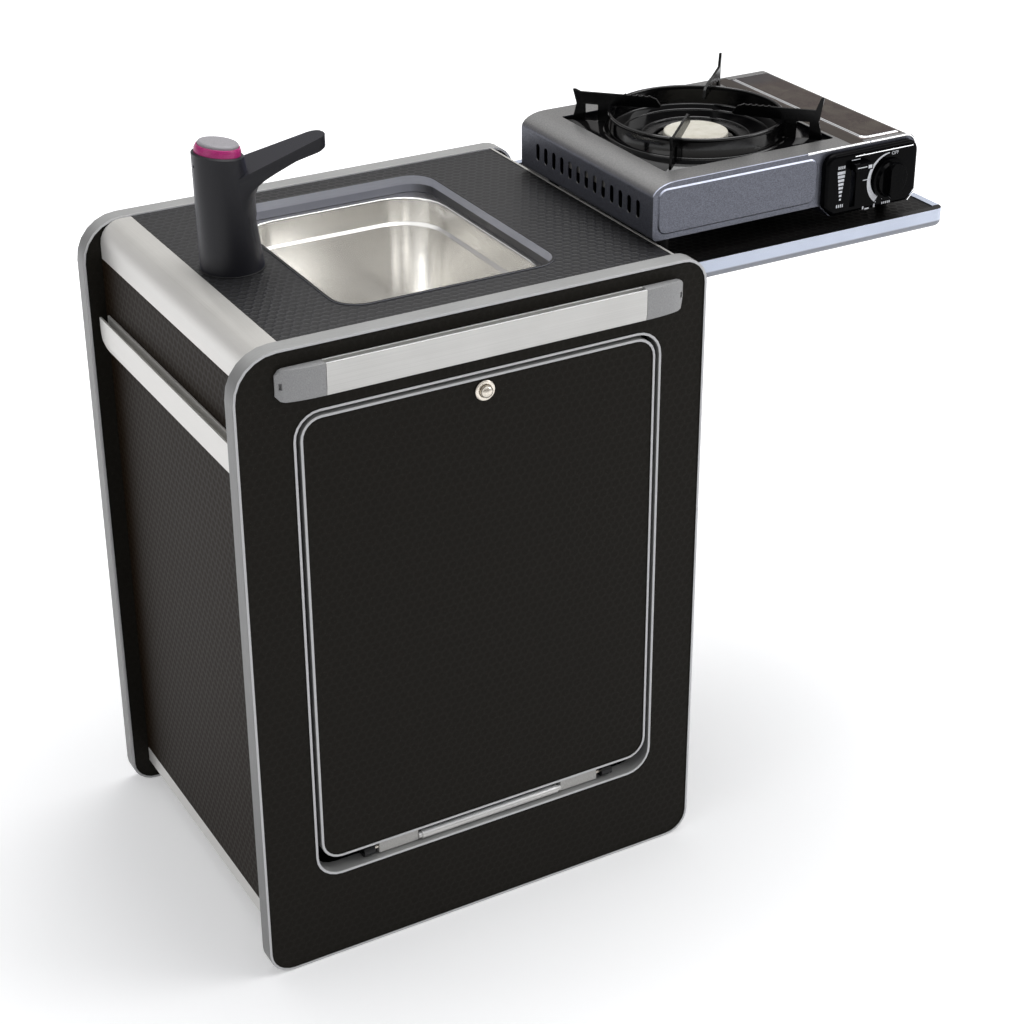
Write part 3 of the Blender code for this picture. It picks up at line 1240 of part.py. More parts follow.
def make_shelf(pod, shelf):
    """The hanging shelf: a film-faced board in its edge section, the hook strip, and two consoles."""
    front, back = BOARD + SHELF_SIDE_GAP, BACK_INNER - SHELF_SIDE_GAP
    frame = (SHELF_LEFT, SHELF_RIGHT, front, back, [SHELF_CORNER] * 4)
    under = SHELF_TOP - SHELF_BOARD
    board_in("side_shelf", inset(frame, SHELF_EDGE - BAND), "XY", under, SHELF_BOARD, shelf)
    low, high = under - FIT - BAND_LIP_THICKNESS, SHELF_TOP + FIT + BAND_LIP_THICKNESS
    section = [
        (BAND_CHAMFER, high),
        (0, high - BAND_CHAMFER),
        *arc((SHELF_EDGE_ROUND, low + SHELF_EDGE_ROUND), SHELF_EDGE_ROUND, 180, steps=EDGE_ROUND_STEPS),
        (SHELF_EDGE_LIP, low),
        (SHELF_EDGE_LIP, under - FIT),
        (SHELF_EDGE, under - FIT),
        (SHELF_EDGE, SHELF_TOP + FIT),
        (SHELF_EDGE_LIP, SHELF_TOP + FIT),
        (SHELF_EDGE_LIP, high),
    ]
    rings = [placed(rounded(*inset(frame, inward)), "XY", level) for inward, level in section]
    piece("shelf_edge_section", lofted(rings, closed=True), "aluminium", shelf)
    plate_left = SHELF_LEFT + SHELF_EDGE_LIP + FIT
    plate_right = plate_left + HOOK_PLATE_WIDTH
    roof = under - FIT
    floor = roof - HOOK_STRIP
    finger_left = SIDE_RIGHT + RAIL_DEPTH - RAIL_WALL - HOOK_SPARE - HOOK_PLATE
    strip = [
        (plate_left, roof),
        (plate_left, floor + HOOK_PLATE),
        (finger_left, floor + HOOK_PLATE),
        (finger_left, floor - HOOK_FINGER),
        (finger_left + HOOK_PLATE, floor - HOOK_FINGER),
        (finger_left + HOOK_PLATE, floor),
        (plate_right, floor),
        (plate_right, roof),
    ]
    clear = SHELF_CORNER + FIT
    piece("shelf_hook_strip", extruded(strip, "XZ", front + clear, back - clear), "aluminium", shelf)
    rail_top = floor - FIT
    section = [(SIDE_RIGHT + out, rail_top - RAIL_HEIGHT + rise) for out, rise in rail_section()]
    piece("right_hanging_rail", extruded(section, "XZ", front, back), "aluminium", pod)
    for name, middle in (("front", front + CONSOLE_FROM_END), ("rear", back - CONSOLE_FROM_END)):
        make_console(f"shelf_console_{name}", middle, plate_right + FIT, floor, shelf)


def make_console(name, middle, top_left, floor, shelf):
    """A flanged sheet gusset under the shelf. Its foot bears on the side board, clear below the rail."""
    roof = SHELF_TOP - SHELF_BOARD - FIT
    foot = roof - CONSOLE_FOOT_DROP
    wall = SIDE_RIGHT + FIT
    inner = SIDE_RIGHT + RAIL_DEPTH + OVERRUN
    tip = top_left + CONSOLE_REACH
    outline = [
        (top_left, roof),
        (top_left, floor - FIT),
        (inner, floor - FIT),
        (inner, foot + CONSOLE_FOOT),
        (wall, foot + CONSOLE_FOOT),
        (wall, foot),
        (inner + CONSOLE_TIP, foot),
        (tip, roof - CONSOLE_TIP),
        (tip, roof),
    ]
    half = CONSOLE_SHEET / 2
    gusset = piece(name, extruded(outline[::-1], "XZ", middle - half, middle + half), "black_plastic", shelf)
    flange = CONSOLE_FLANGE / 2
    join(gusset, block(top_left, tip, middle - flange, middle + flange, roof - CONSOLE_SHEET, roof))
    roof = foot + CONSOLE_FOOT
    join(gusset, block(wall, wall + CONSOLE_SHEET, middle - flange, middle + flange, foot, roof))
    radius = CONSOLE_FOOT_DROP * CONSOLE_HOLE_SHARE / 2
    centre = (inner + 2 * radius, middle - half - OVERRUN, roof - CONSOLE_FOOT_DROP / 2 + radius / 2)
    length = CONSOLE_SHEET + 2 * OVERRUN
    cut(gusset, peg(radius, 0, length, centre, BACK))


def stove_outline(drawn, open_below=0):
    """Front view of the stove's case, drawn in by an amount. Its floor is let down where it is open below."""
    left, right, top = STOVE_LEFT + drawn, STOVE_RIGHT - drawn, STOVE_TOP - drawn
    floor = STOVE_UNDER - open_below
    trough = SHELF_TOP + STOVE_TROUGH_LIFT
    slant = drawn * math.sqrt(2)
    step = STOVE_RIGHT - STOVE_TROUGH_WIDTH + slant + open_below
    heel = STOVE_BOTTOM_RADIUS - drawn
    shoulder = [
        (left + STOVE_SHOULDER * (1 - math.sin(turn)), top - STOVE_CREASE_DROP * (1 - math.cos(turn)))
        for turn in [math.pi / 2 * count / CORNER_STEPS for count in range(CORNER_STEPS + 1)]
    ]
    outline = [
        *arc((left + heel, floor + heel), heel, 180),
        (step - STOVE_LIFT + STOVE_TROUGH_LIFT, floor),
        (step, trough - open_below),
        (STOVE_RIGHT - STOVE_CHAMFER - slant - open_below, trough - open_below),
        (right, trough + STOVE_CHAMFER + slant - drawn),
    ]
    outline += arc((right - STOVE_RIGHT_RADIUS, top - STOVE_RIGHT_RADIUS), STOVE_RIGHT_RADIUS, 0)
    return outline + shoulder


def make_stove_case(stove):
    """The pressed steel case: folded shoulders, a raised field in front, vents on the left, open below."""
    whole = extruded(stove_outline(0), "XZ", STOVE_FRONT, STOVE_BACK)
    case = piece("stove_case", whole, "stove_paint", stove)
    panel_left = STOVE_RIGHT - PANEL_FACE_RIGHT_MARGIN - PANEL_FACE_WIDTH
    left, right = STOVE_LEFT + STOVE_FACE_MARGIN, panel_left - STOVE_FACE_MARGIN
    low, high = STOVE_UNDER + STOVE_FACE_MARGIN, STOVE_TOP - STOVE_FACE_MARGIN
    field = (left, right, low, high, [STOVE_FACE_CORNER] * 4)
    depths = ((0, OVERRUN / 2), (0, 0), (STOVE_FACE_RAISE, -STOVE_FACE_RAISE))
    rings = [placed(rounded(*inset(field, drawn)), "XZ", STOVE_FRONT + out) for drawn, out in depths]
    join(case, lofted(rings))
    near, far = STOVE_FRONT + STOVE_SHEET, STOVE_BACK - STOVE_SHEET
    cut(case, extruded(stove_outline(STOVE_SHEET, OVERRUN), "XZ", near, far))
    half_x, half_y = PAN_WIDTH / 2 - PAN_RIM + FIT, PAN_DEPTH / 2 - PAN_RIM + FIT
    corner = [PAN_CORNER - PAN_RIM + FIT] * 4
    frame = (PAN_CENTRE_X - half_x, PAN_CENTRE_X + half_x, PAN_CENTRE_Y - half_y, PAN_CENTRE_Y + half_y)
    hole = rounded(*frame, corner)
    cut(case, extruded(hole, "XY", STOVE_TOP - STOVE_CREASE_DROP, STOVE_TOP + OVERRUN))
    lid_near, lid_far = STOVE_FRONT + LID_END_MARGIN, STOVE_BACK - LID_END_MARGIN
    sill = LID_AXIS.z - LID_ROD_INSET - FIT
    cut(case, block(LID_LEFT, STOVE_RIGHT + OVERRUN, lid_near, lid_far, sill, STOVE_TOP + OVERRUN))
    rod = LID_ROD_RADIUS + FIT
    length = STOVE_DEPTH + OVERRUN
    cut(case, peg(rod, -OVERRUN, length, (LID_AXIS.x, STOVE_FRONT, LID_AXIS.z), BACK, PIN_STEPS))
    slots = []
    low = STOVE_TOP - STOVE_CREASE_DROP - VENT_DROP - VENT_HEIGHT / 2
    for count in range(STOVE_VENTS):
        middle = PAN_CENTRE_Y - VENTS_FORWARD + VENT_PITCH * (count - (STOVE_VENTS - 1) / 2)
        radius = VENT_WIDTH / 2
        slot = arc((middle, low + radius), radius, 180, 180)
        slot += arc((middle, low + VENT_HEIGHT - radius), radius, 0, 180)
        slots.append(extruded(slot, "YZ", STOVE_LEFT - OVERRUN, STOVE_LEFT + STOVE_SHEET + OVERRUN))
    cut(case, together(*slots))
    lever = lever_slot(LEVER_STEM + 2 * FIT)
    cut(case, block(*lever[:2], STOVE_FRONT - OVERRUN, near + OVERRUN, *lever[2:]))
    shaft = KNOB_SHAFT_RADIUS + FIT
    cut(case, peg(shaft, -OVERRUN, 2 * OVERRUN, (knob_x(), STOVE_FRONT, knob_z()), BACK))


def knob_x():
    return STOVE_RIGHT - KNOB_FROM_RIGHT


def knob_z():
    return SHELF_TOP + KNOB_HEIGHT


def lever_slot(width):
    """Limits of the lever's upright slot: left, right, low and high."""
    middle = STOVE_RIGHT - LEVER_FROM_RIGHT
    low = SHELF_TOP + LEVER_SLOT_BOTTOM
    return (middle - width / 2, middle + width / 2, low, low + LEVER_SLOT_HEIGHT)


def pan_ring(half_x, half_y, radius, height):
    """A level ring of the drip pan."""
    frame = (PAN_CENTRE_X - half_x, PAN_CENTRE_X + half_x, PAN_CENTRE_Y - half_y, PAN_CENTRE_Y + half_y)
    return placed(rounded(*frame, [radius] * 4), "XY", height)


def make_pan(pan):
    """The enamelled drip pan with its upright wind ring, and the four stamped prongs that carry a pot."""
    half_x, half_y = PAN_WIDTH / 2, PAN_DEPTH / 2
    seat = STOVE_TOP + FIT
    floor = STOVE_TOP - PAN_SINK
    bowl = floor - PAN_BOWL_DROP
    inner = RING_RADIUS - RING_WALL

    def square(drawn, height):
        return pan_ring(half_x - drawn, half_y - drawn, PAN_CORNER - drawn, height)

    def round_ring(radius, height):
        return pan_ring(radius, radius, radius, height)

    slope = PAN_RIM + PAN_SLOPE
    rings = [
        square(0, seat + PAN_SHEET),
        square(PAN_RIM, seat + PAN_SHEET),
        square(slope, floor + PAN_SHEET),
        round_ring(RING_RADIUS, floor + PAN_SHEET),
        round_ring(RING_RADIUS, STOVE_TOP + RING_RISE - RING_ROLL),
        round_ring(RING_RADIUS - RING_WALL / 2, STOVE_TOP + RING_RISE),
        round_ring(inner, STOVE_TOP + RING_RISE - RING_ROLL),
        round_ring(inner, bowl + PAN_SHEET),
        round_ring(PAN_HOLE_RADIUS, bowl + PAN_SHEET),
        round_ring(PAN_HOLE_RADIUS, bowl),
        round_ring(inner, bowl),
        round_ring(RING_RADIUS, bowl + RING_WALL),
        round_ring(RING_RADIUS, floor),
        square(slope, floor),
        square(PAN_RIM, seat),
        square(0, seat),
    ]
    tray = piece("drip_pan_with_prongs", lofted(rings, closed=True), "black_enamel", pan)
    for turn, horn in zip(PRONG_TURNS, (PRONG_HORN, PRONG_STUB, PRONG_STUB, PRONG_HORN)):
        join(tray, prong(turn, floor + PAN_SHEET / 2, horn))


def prong(turn, foot, horn):
    """One stamped prong: two legs with a window between, a toothed bar and a horn at its outer end."""
    top = STOVE_TOP + PRONG_TOP
    bar = top - PRONG_BAR
    leg = (PRONG_OUTER - PRONG_INNER_LEG - PRONG_WINDOW) / 2
    under_tip = top - PRONG_TIP_DROP - PRONG_TIP_EDGE
    outline = [
        (PRONG_OUTER, foot),
        (PRONG_OUTER - PRONG_WAIST, bar),
        (PRONG_OUTER, top + horn),
        (PRONG_OUTER - PRONG_HORN_TIP, top + horn),
        (PRONG_OUTER - PRONG_HORN_FOOT, top),
    ]
    for count in reversed(range(PRONG_TEETH)):
        root = PRONG_TIP + PRONG_TEETH_FROM_TIP + PRONG_TOOTH_PITCH * count
        crest = root + PRONG_TOOTH_PITCH / 4
        outline += [(root + PRONG_TOOTH_PITCH / 2, top), (crest, top + PRONG_TOOTH), (root, top)]
    outline += [
        (PRONG_TIP + PRONG_TIP_LENGTH, top - PRONG_TIP_EDGE),
        (PRONG_TIP, top - PRONG_TIP_DROP),
        (PRONG_TIP + PRONG_TIP_EDGE, under_tip),
        (PRONG_INNER_LEG, bar),
        (PRONG_INNER_LEG, foot),
        (PRONG_INNER_LEG + leg, foot),
        (PRONG_INNER_LEG + leg, bar),
        (PRONG_OUTER - leg, bar),
        (PRONG_OUTER - leg, foot),
    ]
    bm = extruded(outline, "XZ", -PRONG_SHEET / 2, PRONG_SHEET / 2)
    place = Matrix.Translation((PAN_CENTRE_X, PAN_CENTRE_Y, 0)) @ Matrix.Rotation(turn, 4, "Z")
    bmesh.ops.transform(bm, matrix=place, verts=bm.verts)
    bmesh.ops.recalc_face_normals(bm, faces=bm.faces)
    return bm


def make_burner(stove):
    """The cast burner head with its radial flame slots, and the pale cap on it."""
    top = SHELF_TOP + BURNER_CAP_TOP
    seat = top - BURNER_CAP_HEIGHT
    tray = STOVE_UNDER + TRAY_SHEET + 2 * FIT
    low = tray - seat
    profile = [
        (0, low),
        (BURNER_WAIST_RADIUS, low),
        (BURNER_WAIST_RADIUS, low / 2),
        (BURNER_RADIUS, -BURNER_RIM),
        (BURNER_RADIUS, -FIT),
        (BURNER_CAP_RADIUS, -FIT),
        (0, -FIT),
    ]
    place = (PAN_CENTRE_X, PAN_CENTRE_Y, seat)
    head = piece("burner_head", turned(profile, place), "cast_alloy", stove)
    slots = []
    for count in range(BURNER_SLOTS):
        half = BURNER_SLOT_WIDTH / 2
        bm = block(BURNER_CAP_RADIUS + half, BURNER_RADIUS + OVERRUN, -half, half, -BURNER_RIM / 2, OVERRUN)
        turn = Matrix.Rotation(math.tau * count / BURNER_SLOTS, 4, "Z")
        bmesh.ops.transform(bm, matrix=Matrix.Translation(place) @ turn, verts=bm.verts)
        slots.append(bm)
    cut(head, together(*slots))
    edge = BURNER_CAP_HEIGHT / 4
    profile = [
        (0, 0),
        (BURNER_CAP_RADIUS, 0),
        (BURNER_CAP_RADIUS, BURNER_CAP_HEIGHT - edge),
        (BURNER_CAP_RADIUS - edge, BURNER_CAP_HEIGHT),
        (BURNER_CAP_RADIUS - edge - BURNER_CAP_RIM, BURNER_CAP_HEIGHT),
        (BURNER_CAP_RADIUS - 2 * edge - BURNER_CAP_RIM, BURNER_CAP_HEIGHT - edge),
        (0, BURNER_CAP_HEIGHT - edge),
    ]
    piece("burner_cap", turned(profile, place), "burner_cream", stove)


def make_stove_tray(stove):
    """The folded floor of the stove, deeper under the cartridge, with its cradle ribs and four feet."""
    drawn = STOVE_SHEET + FIT
    left, right = STOVE_LEFT + drawn + STOVE_BOTTOM_RADIUS, STOVE_RIGHT - drawn
    slant = drawn * math.sqrt(2)
    step = STOVE_RIGHT - STOVE_TROUGH_WIDTH + slant
    near, far = STOVE_FRONT + drawn, STOVE_BACK - drawn
    upper, lower = STOVE_UNDER + FIT, SHELF_TOP + STOVE_TROUGH_LIFT + FIT
    toe = STOVE_RIGHT - STOVE_CHAMFER + FIT - slant
    knee = lower + right - toe
    mitre = TRAY_SHEET * (math.sqrt(2) - 1)
    outline = [
        (left, upper),
        (step, upper),
        (step, lower),
        (toe, lower),
        (right, knee),
        (right, knee + TRAY_LIP),
        (right - TRAY_SHEET, knee + TRAY_LIP),
        (right - TRAY_SHEET, knee + mitre),
        (toe - mitre, lower + TRAY_SHEET),
        (step + TRAY_SHEET, lower + TRAY_SHEET),
        (step + TRAY_SHEET, upper + TRAY_SHEET),
        (left, upper + TRAY_SHEET),
    ]
    tray = piece("stove_floor", extruded(outline, "XZ", near, far), "stove_paint", stove)
    for x, top in ((left + FOOT_INSET, upper), (right - FOOT_INSET, lower)):
        for y in (near + FOOT_INSET, far - FOOT_INSET):
            height = top - STOVE_BASE + TRAY_SHEET / 2
            join(tray, peg(FOOT_RADIUS, 0, height, (x, y, STOVE_BASE), steps=PIN_STEPS))
    middle = cartridge_x()
    axis = cartridge_z()
    half = CRADLE_WIDTH / 2
    radius = CARTRIDGE_RADIUS + FIT
    for y in (STOVE_BACK - CARTRIDGE_FROM_REAR - 2 * CRADLE_LENGTH, cartridge_front() + 3 * CRADLE_LENGTH):
        low, high = lower + TRAY_SHEET / 2, axis - radius / 2
        join(tray, block(middle - half, middle + half, y, y + CRADLE_LENGTH, low, high))
    cut(tray, peg(radius, 0, CARTRIDGE_LENGTH, (middle, cartridge_front(), axis), BACK))


def cartridge_x():
    return STOVE_RIGHT - STOVE_SHEET - CARTRIDGE_FROM_SIDE - CARTRIDGE_RADIUS


def cartridge_z():
    return SHELF_TOP + STOVE_TROUGH_LIFT + TRAY_SHEET + CRADLE_RISE + CARTRIDGE_RADIUS


def cartridge_front():
    return STOVE_BACK - CARTRIDGE_FROM_REAR - CARTRIDGE_LENGTH


def make_cartridge(stove):
    """The gas cartridge on its side in the stove, and the regulator that its collar plugs into."""
    wall = CARTRIDGE_WALL
    profile = [
        (CARTRIDGE_VALVE_RADIUS, -CARTRIDGE_NECK_LENGTH),
        (CARTRIDGE_NECK_RADIUS, -CARTRIDGE_NECK_LENGTH),
        (CARTRIDGE_NECK_RADIUS, 0),
        (CARTRIDGE_RADIUS - CARTRIDGE_SHOULDER, 0),
        (CARTRIDGE_RADIUS - CARTRIDGE_SHOULDER / 4, CARTRIDGE_SHOULDER / 2),
        (CARTRIDGE_RADIUS, CARTRIDGE_SHOULDER),
        (CARTRIDGE_RADIUS, CARTRIDGE_LENGTH),
        (0, CARTRIDGE_LENGTH),
        (0, CARTRIDGE_LENGTH - wall),
        (CARTRIDGE_RADIUS - wall, CARTRIDGE_LENGTH - wall),
        (CARTRIDGE_RADIUS - wall, CARTRIDGE_SHOULDER),
        (CARTRIDGE_NECK_RADIUS - wall, wall),
        (CARTRIDGE_VALVE_RADIUS, wall),
    ]
    place = (cartridge_x(), cartridge_front(), cartridge_z())
    piece("gas_cartridge", turned(profile, place, BACK, closed=True), "cartridge_paint", stove)
    half_x, half_z = REGULATOR_WIDTH / 2, REGULATOR_HEIGHT / 2
    radii = [REGULATOR_RADIUS] * 4
    low, high = knob_z() - half_z, knob_z() + half_z
    outline = rounded(cartridge_x() - half_x, cartridge_x() + half_x, low, high, radii)
    near = STOVE_FRONT + STOVE_SHEET + FIT
    far = cartridge_front() - CARTRIDGE_NECK_LENGTH - FIT
    body = piece("gas_regulator", extruded(outline, "XZ", near, far), "cast_alloy", stove)
    deep = KNOB_SHAFT_LENGTH
    shaft = KNOB_SHAFT_RADIUS + FIT
    cut(body, peg(shaft, -OVERRUN, deep, (knob_x(), near, knob_z()), BACK))


def make_lid(lid):
    """The mirror-bright cartridge lid, on a wire rod that turns in the case's end walls."""
    right, top = STOVE_RIGHT, STOVE_TOP
    bend = (right - STOVE_RIGHT_RADIUS, top - STOVE_RIGHT_RADIUS)
    outer = arc(bend, STOVE_RIGHT_RADIUS, 0)
    inner = arc(bend, STOVE_RIGHT_RADIUS - LID_SHEET, 0)
    inner.reverse()
    outline = [
        (right, LID_AXIS.z),
        *outer,
        (LID_LEFT + LID_GAP, top),
        (LID_LEFT + LID_GAP, top - LID_SHEET),
        *inner,
        (right - LID_SHEET, LID_AXIS.z + LID_ROD_RADIUS),
        (LID_AXIS.x, LID_AXIS.z + LID_ROD_RADIUS),
        (LID_AXIS.x, LID_AXIS.z),
    ]
    near, far = STOVE_FRONT + LID_END_MARGIN + LID_GAP, STOVE_BACK - LID_END_MARGIN - LID_GAP
    cover = piece("cartridge_lid", extruded(outline, "XZ", near, far), "mirror_steel", lid)
    place = (LID_AXIS.x, STOVE_FRONT, LID_AXIS.z)
    join(cover, peg(LID_ROD_RADIUS, 0, STOVE_DEPTH, place, BACK, PIN_STEPS))


def panel_outline(drawn):
    """Front view of the control panel, drawn in by an amount. Its lower corners are cut off."""
    right = STOVE_RIGHT - PANEL_FACE_RIGHT_MARGIN - drawn
    left = right - PANEL_FACE_WIDTH + 2 * drawn
    low = SHELF_TOP + PANEL_FACE_BOTTOM + drawn
    high = low + PANEL_FACE_HEIGHT - 2 * drawn
    slant = PANEL_FACE_CHAMFER - drawn * (2 - math.sqrt(2))
    radius = PANEL_FACE_CORNER - drawn
    return [
        (left, low + slant),
        (left + slant, low),
        (right - slant, low),
        (right, low + slant),
        *arc((right - radius, high - radius), radius, 0),
        *arc((left + radius, high - radius), radius, 90),
    ]


def make_controls(stove):
    """The moulded control panel, the gas knob on its shaft, and the cartridge lever in its upright slot."""
    back = STOVE_FRONT - FIT
    face = back - PANEL_FACE_DEPTH
    rings = [placed(panel_outline(0), "XZ", back)]
    middle = (PANEL_FACE_ROUND, face + PANEL_FACE_ROUND)
    for drawn, depth in arc(middle, PANEL_FACE_ROUND, 180, 90, EDGE_ROUND_STEPS):
        rings.append(placed(panel_outline(drawn), "XZ", depth))
    panel = piece("control_panel", lofted(rings), "black_plastic", stove)
    hollow = panel_outline(PANEL_FACE_SHELL)
    cut(panel, extruded(hollow, "XZ", face + PANEL_FACE_SHELL, back + OVERRUN))
    slot = lever_slot(LEVER_SLOT_WIDTH)
    cut(panel, block(*slot[:2], face - OVERRUN, back, *slot[2:]))
    bore = KNOB_SHAFT_RADIUS + FIT
    length = PANEL_FACE_DEPTH
    cut(panel, peg(bore, -OVERRUN, length, (knob_x(), face, knob_z()), BACK))
    make_knob(face - FIT, stove)
    make_lever(face, stove)


def make_knob(seat, stove):
    """The gas knob: a skirt, a dished body with a grip bar across it, and its shaft."""
    place = (knob_x(), seat, knob_z())
    profile = [
        (0, KNOB_SHAFT_LENGTH),
        (KNOB_SHAFT_RADIUS, KNOB_SHAFT_LENGTH),
        (KNOB_SHAFT_RADIUS, 0),
        (KNOB_RADIUS, 0),
        (KNOB_RADIUS, -KNOB_SKIRT),
        (KNOB_RADIUS - KNOB_SKIRT, -KNOB_SKIRT - FIT),
        (KNOB_RADIUS - KNOB_SKIRT - KNOB_SKIRT / 2, KNOB_GRIP_DEPTH - KNOB_DEPTH - KNOB_SKIRT),
        (0, KNOB_GRIP_DEPTH - KNOB_DEPTH - KNOB_SKIRT),
    ]
    knob = piece("gas_knob", turned(profile, place, BACK), "black_plastic", stove, place)
    half = KNOB_GRIP_WIDTH / 2
    reach = KNOB_RADIUS - KNOB_SKIRT
    outline = rounded(-reach, reach, -half, half, [half] * 4)
    bm = extruded(outline, "XZ", -KNOB_DEPTH, -KNOB_SKIRT / 2)
    turn = Matrix.Rotation(-math.radians(KNOB_REST_TURN), 4, "Y")
    bmesh.ops.transform(bm, matrix=Matrix.Translation(place) @ turn, verts=bm.verts)
    join(knob, bm)


def make_lever(face, stove):
    """The thumb lever that locks the cartridge: a grip, a stem through the slot and a guide behind."""
    slot = lever_slot(LEVER_STEM)
    middle = (slot[0] + slot[1]) / 2
    top = slot[3] - FIT
    low = top - LEVER_HEIGHT
    behind = face + PANEL_FACE_SHELL + FIT
    front = face - FIT - LEVER_STANDOUT
    left, right = middle - LEVER_STEM, middle - LEVER_STEM + LEVER_WIDTH
    place = (middle, face, low)
    bm = block(left, right, front, face - FIT, low, top)
    lever = piece("cartridge_lever", bm, "black_plastic", stove, place)
    join(lever, block(slot[0], slot[1], face - 2 * FIT, behind + LEVER_GUIDE_DEPTH / 2, low, top))
    half = LEVER_GUIDE_WIDTH / 2
    join(lever, block(middle - half, middle + half, behind, behind + LEVER_GUIDE_DEPTH, low, top))


def build():
    clear_scene()
    pod = carrier("pod_origin", (0, 0, 0), None)
    leaf = carrier("leaf_axis", (OPENING_CENTRE, HINGE_AXIS_DEPTH, HINGE_HEIGHT), pod)
    shelf = carrier("shelf_seat", (SHELF_LEFT, BOARD + SHELF_SIDE_GAP, SHELF_TOP), pod)
    stove = carrier("stove_seat", (STOVE_LEFT, STOVE_FRONT, STOVE_BASE), shelf)
    pan = carrier("pan_seat", (PAN_CENTRE_X, PAN_CENTRE_Y, STOVE_TOP), stove)
    lid = carrier("lid_axis", (LID_AXIS.x, PAN_CENTRE_Y, LID_AXIS.z), stove)
    make_end_panels(pod)
    make_corner_profile(pod)
    make_sides(pod)
    make_front_rail(pod)
    make_left_rail(pod)
    make_worktop(pod)
    make_sink(pod)
    make_leaf(leaf)
    make_leaf_hinge(pod, leaf)
    make_lock(leaf)
    make_tap(pod)
    make_water(pod)
    make_shelf(pod, shelf)
    make_stove_case(stove)
    make_stove_tray(stove)
    make_burner(stove)
    make_cartridge(stove)
    make_pan(pan)
    make_lid(lid)
    make_controls(stove)


build()
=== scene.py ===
import math

import bmesh
import bpy
from mathutils import Color, Matrix, Vector


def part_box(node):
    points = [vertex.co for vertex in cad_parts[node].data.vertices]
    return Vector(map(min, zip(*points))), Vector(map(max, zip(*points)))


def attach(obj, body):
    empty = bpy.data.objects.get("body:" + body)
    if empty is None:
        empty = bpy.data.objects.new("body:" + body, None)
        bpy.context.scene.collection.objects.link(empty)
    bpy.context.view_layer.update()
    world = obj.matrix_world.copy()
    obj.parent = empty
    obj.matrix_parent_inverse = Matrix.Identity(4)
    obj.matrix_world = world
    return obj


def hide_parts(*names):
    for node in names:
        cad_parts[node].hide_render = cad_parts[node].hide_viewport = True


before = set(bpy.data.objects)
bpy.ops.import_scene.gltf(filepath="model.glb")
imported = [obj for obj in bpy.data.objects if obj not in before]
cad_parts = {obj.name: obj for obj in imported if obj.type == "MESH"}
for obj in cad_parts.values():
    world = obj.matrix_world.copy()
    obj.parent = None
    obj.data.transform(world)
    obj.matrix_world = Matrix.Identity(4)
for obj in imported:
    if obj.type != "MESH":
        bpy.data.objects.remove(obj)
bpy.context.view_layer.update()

# The camera stands at the photograph's place, in front of the left half and above the worktop,
# with a long lens. It is turned round the pod and tilted down on it.
scene = bpy.context.scene
camera = bpy.data.objects.new("camera", bpy.data.cameras.new("camera"))
scene.collection.objects.link(camera)
scene.camera = camera
turn, tilt = math.radians(-29.975), math.radians(26.718)
level = math.cos(tilt)
backward = Vector((math.sin(turn) * level, -math.cos(turn) * level, math.sin(tilt)))
camera.location = (-1.12018, -1.95825, 1.57590)
camera.rotation_mode = "QUATERNION"
camera.rotation_quaternion = (-backward).to_track_quat("-Z", "Y")
camera.data.lens = 76.357
camera.data.shift_x = -0.02022
camera.data.shift_y = -0.06138
camera.data.clip_end = 60
scene.view_settings.view_transform = "Standard"


# The studio has a pale floor that runs out into white. Its glow is seen by the camera and in
# reflections only, so that it whitens the background and puts no light on the pod.
def put(tree, kind, inputs=(), **settings):
    """Add a node, set it up, and give its inputs their values or links."""
    node = tree.nodes.new("ShaderNode" + kind)
    for setting, value in settings.items():
        setattr(node, setting, value)
    for socket, value in dict(inputs).items():
        if isinstance(value, bpy.types.NodeSocket):
            tree.links.new(value, node.inputs[socket])
        else:
            node.inputs[socket].default_value = value
    return node


def ranged(tree, value, low, high, start=0.0, end=1.0):
    """Take a value from the range low to high into the range start to end."""
    sockets = {"Value": value, "From Min": low, "From Max": high, "To Min": start, "To Max": end}
    return put(tree, "MapRange", sockets).outputs[0]


def math_of(tree, operation, first, second=0.0):
    """One step of arithmetic between two values or sockets."""
    return put(tree, "Math", {0: first, 1: second}, operation=operation).outputs[0]


def seen_or_reflected(tree):
    """1 for rays from the camera, a mirror or a glass, and 0 for those that carry light."""
    ray = put(tree, "LightPath").outputs
    sharp = math_of(tree, "MAXIMUM", ray["Is Camera Ray"], ray["Is Glossy Ray"])
    return math_of(tree, "MAXIMUM", sharp, ray["Is Transmission Ray"])


FLOOR_REACH, FLOOR_DROP = 14, 0.0005
GLOW_FROM, GLOW_TO = 0.4, 2.0
NEAR_GLOW, FAR_GLOW = 0.29, 0.76
floor_bm = bmesh.new()
bmesh.ops.create_grid(floor_bm, x_segments=1, y_segments=1, size=FLOOR_REACH)
bmesh.ops.translate(floor_bm, verts=floor_bm.verts, vec=(0, 0, -FLOOR_DROP))
floor_mesh = bpy.data.meshes.new("studio_floor")
floor_bm.to_mesh(floor_mesh)
floor_bm.free()
floor = bpy.data.objects.new("studio_floor", floor_mesh)
scene.collection.objects.link(floor)
floor_paint = bpy.data.materials.new("studio_floor_paint")
floor_paint.use_nodes = True
tree = floor_paint.node_tree
floor_shader = tree.nodes["Principled BSDF"]
floor_shader.inputs["Base Color"].default_value = (0.86, 0.86, 0.86, 1)
floor_shader.inputs["Roughness"].default_value = 0.9
floor_shader.inputs["Specular IOR Level"].default_value = 0.0
spot = put(tree, "TexCoord").outputs["Object"]
away = put(tree, "VectorMath", {0: spot}, operation="LENGTH").outputs["Value"]
spread = ranged(tree, away, GLOW_FROM, GLOW_TO, NEAR_GLOW, FAR_GLOW)
glow = math_of(tree, "MULTIPLY", spread, seen_or_reflected(tree))
light = put(tree, "Emission", {"Color": (1, 1, 1, 1), "Strength": glow})
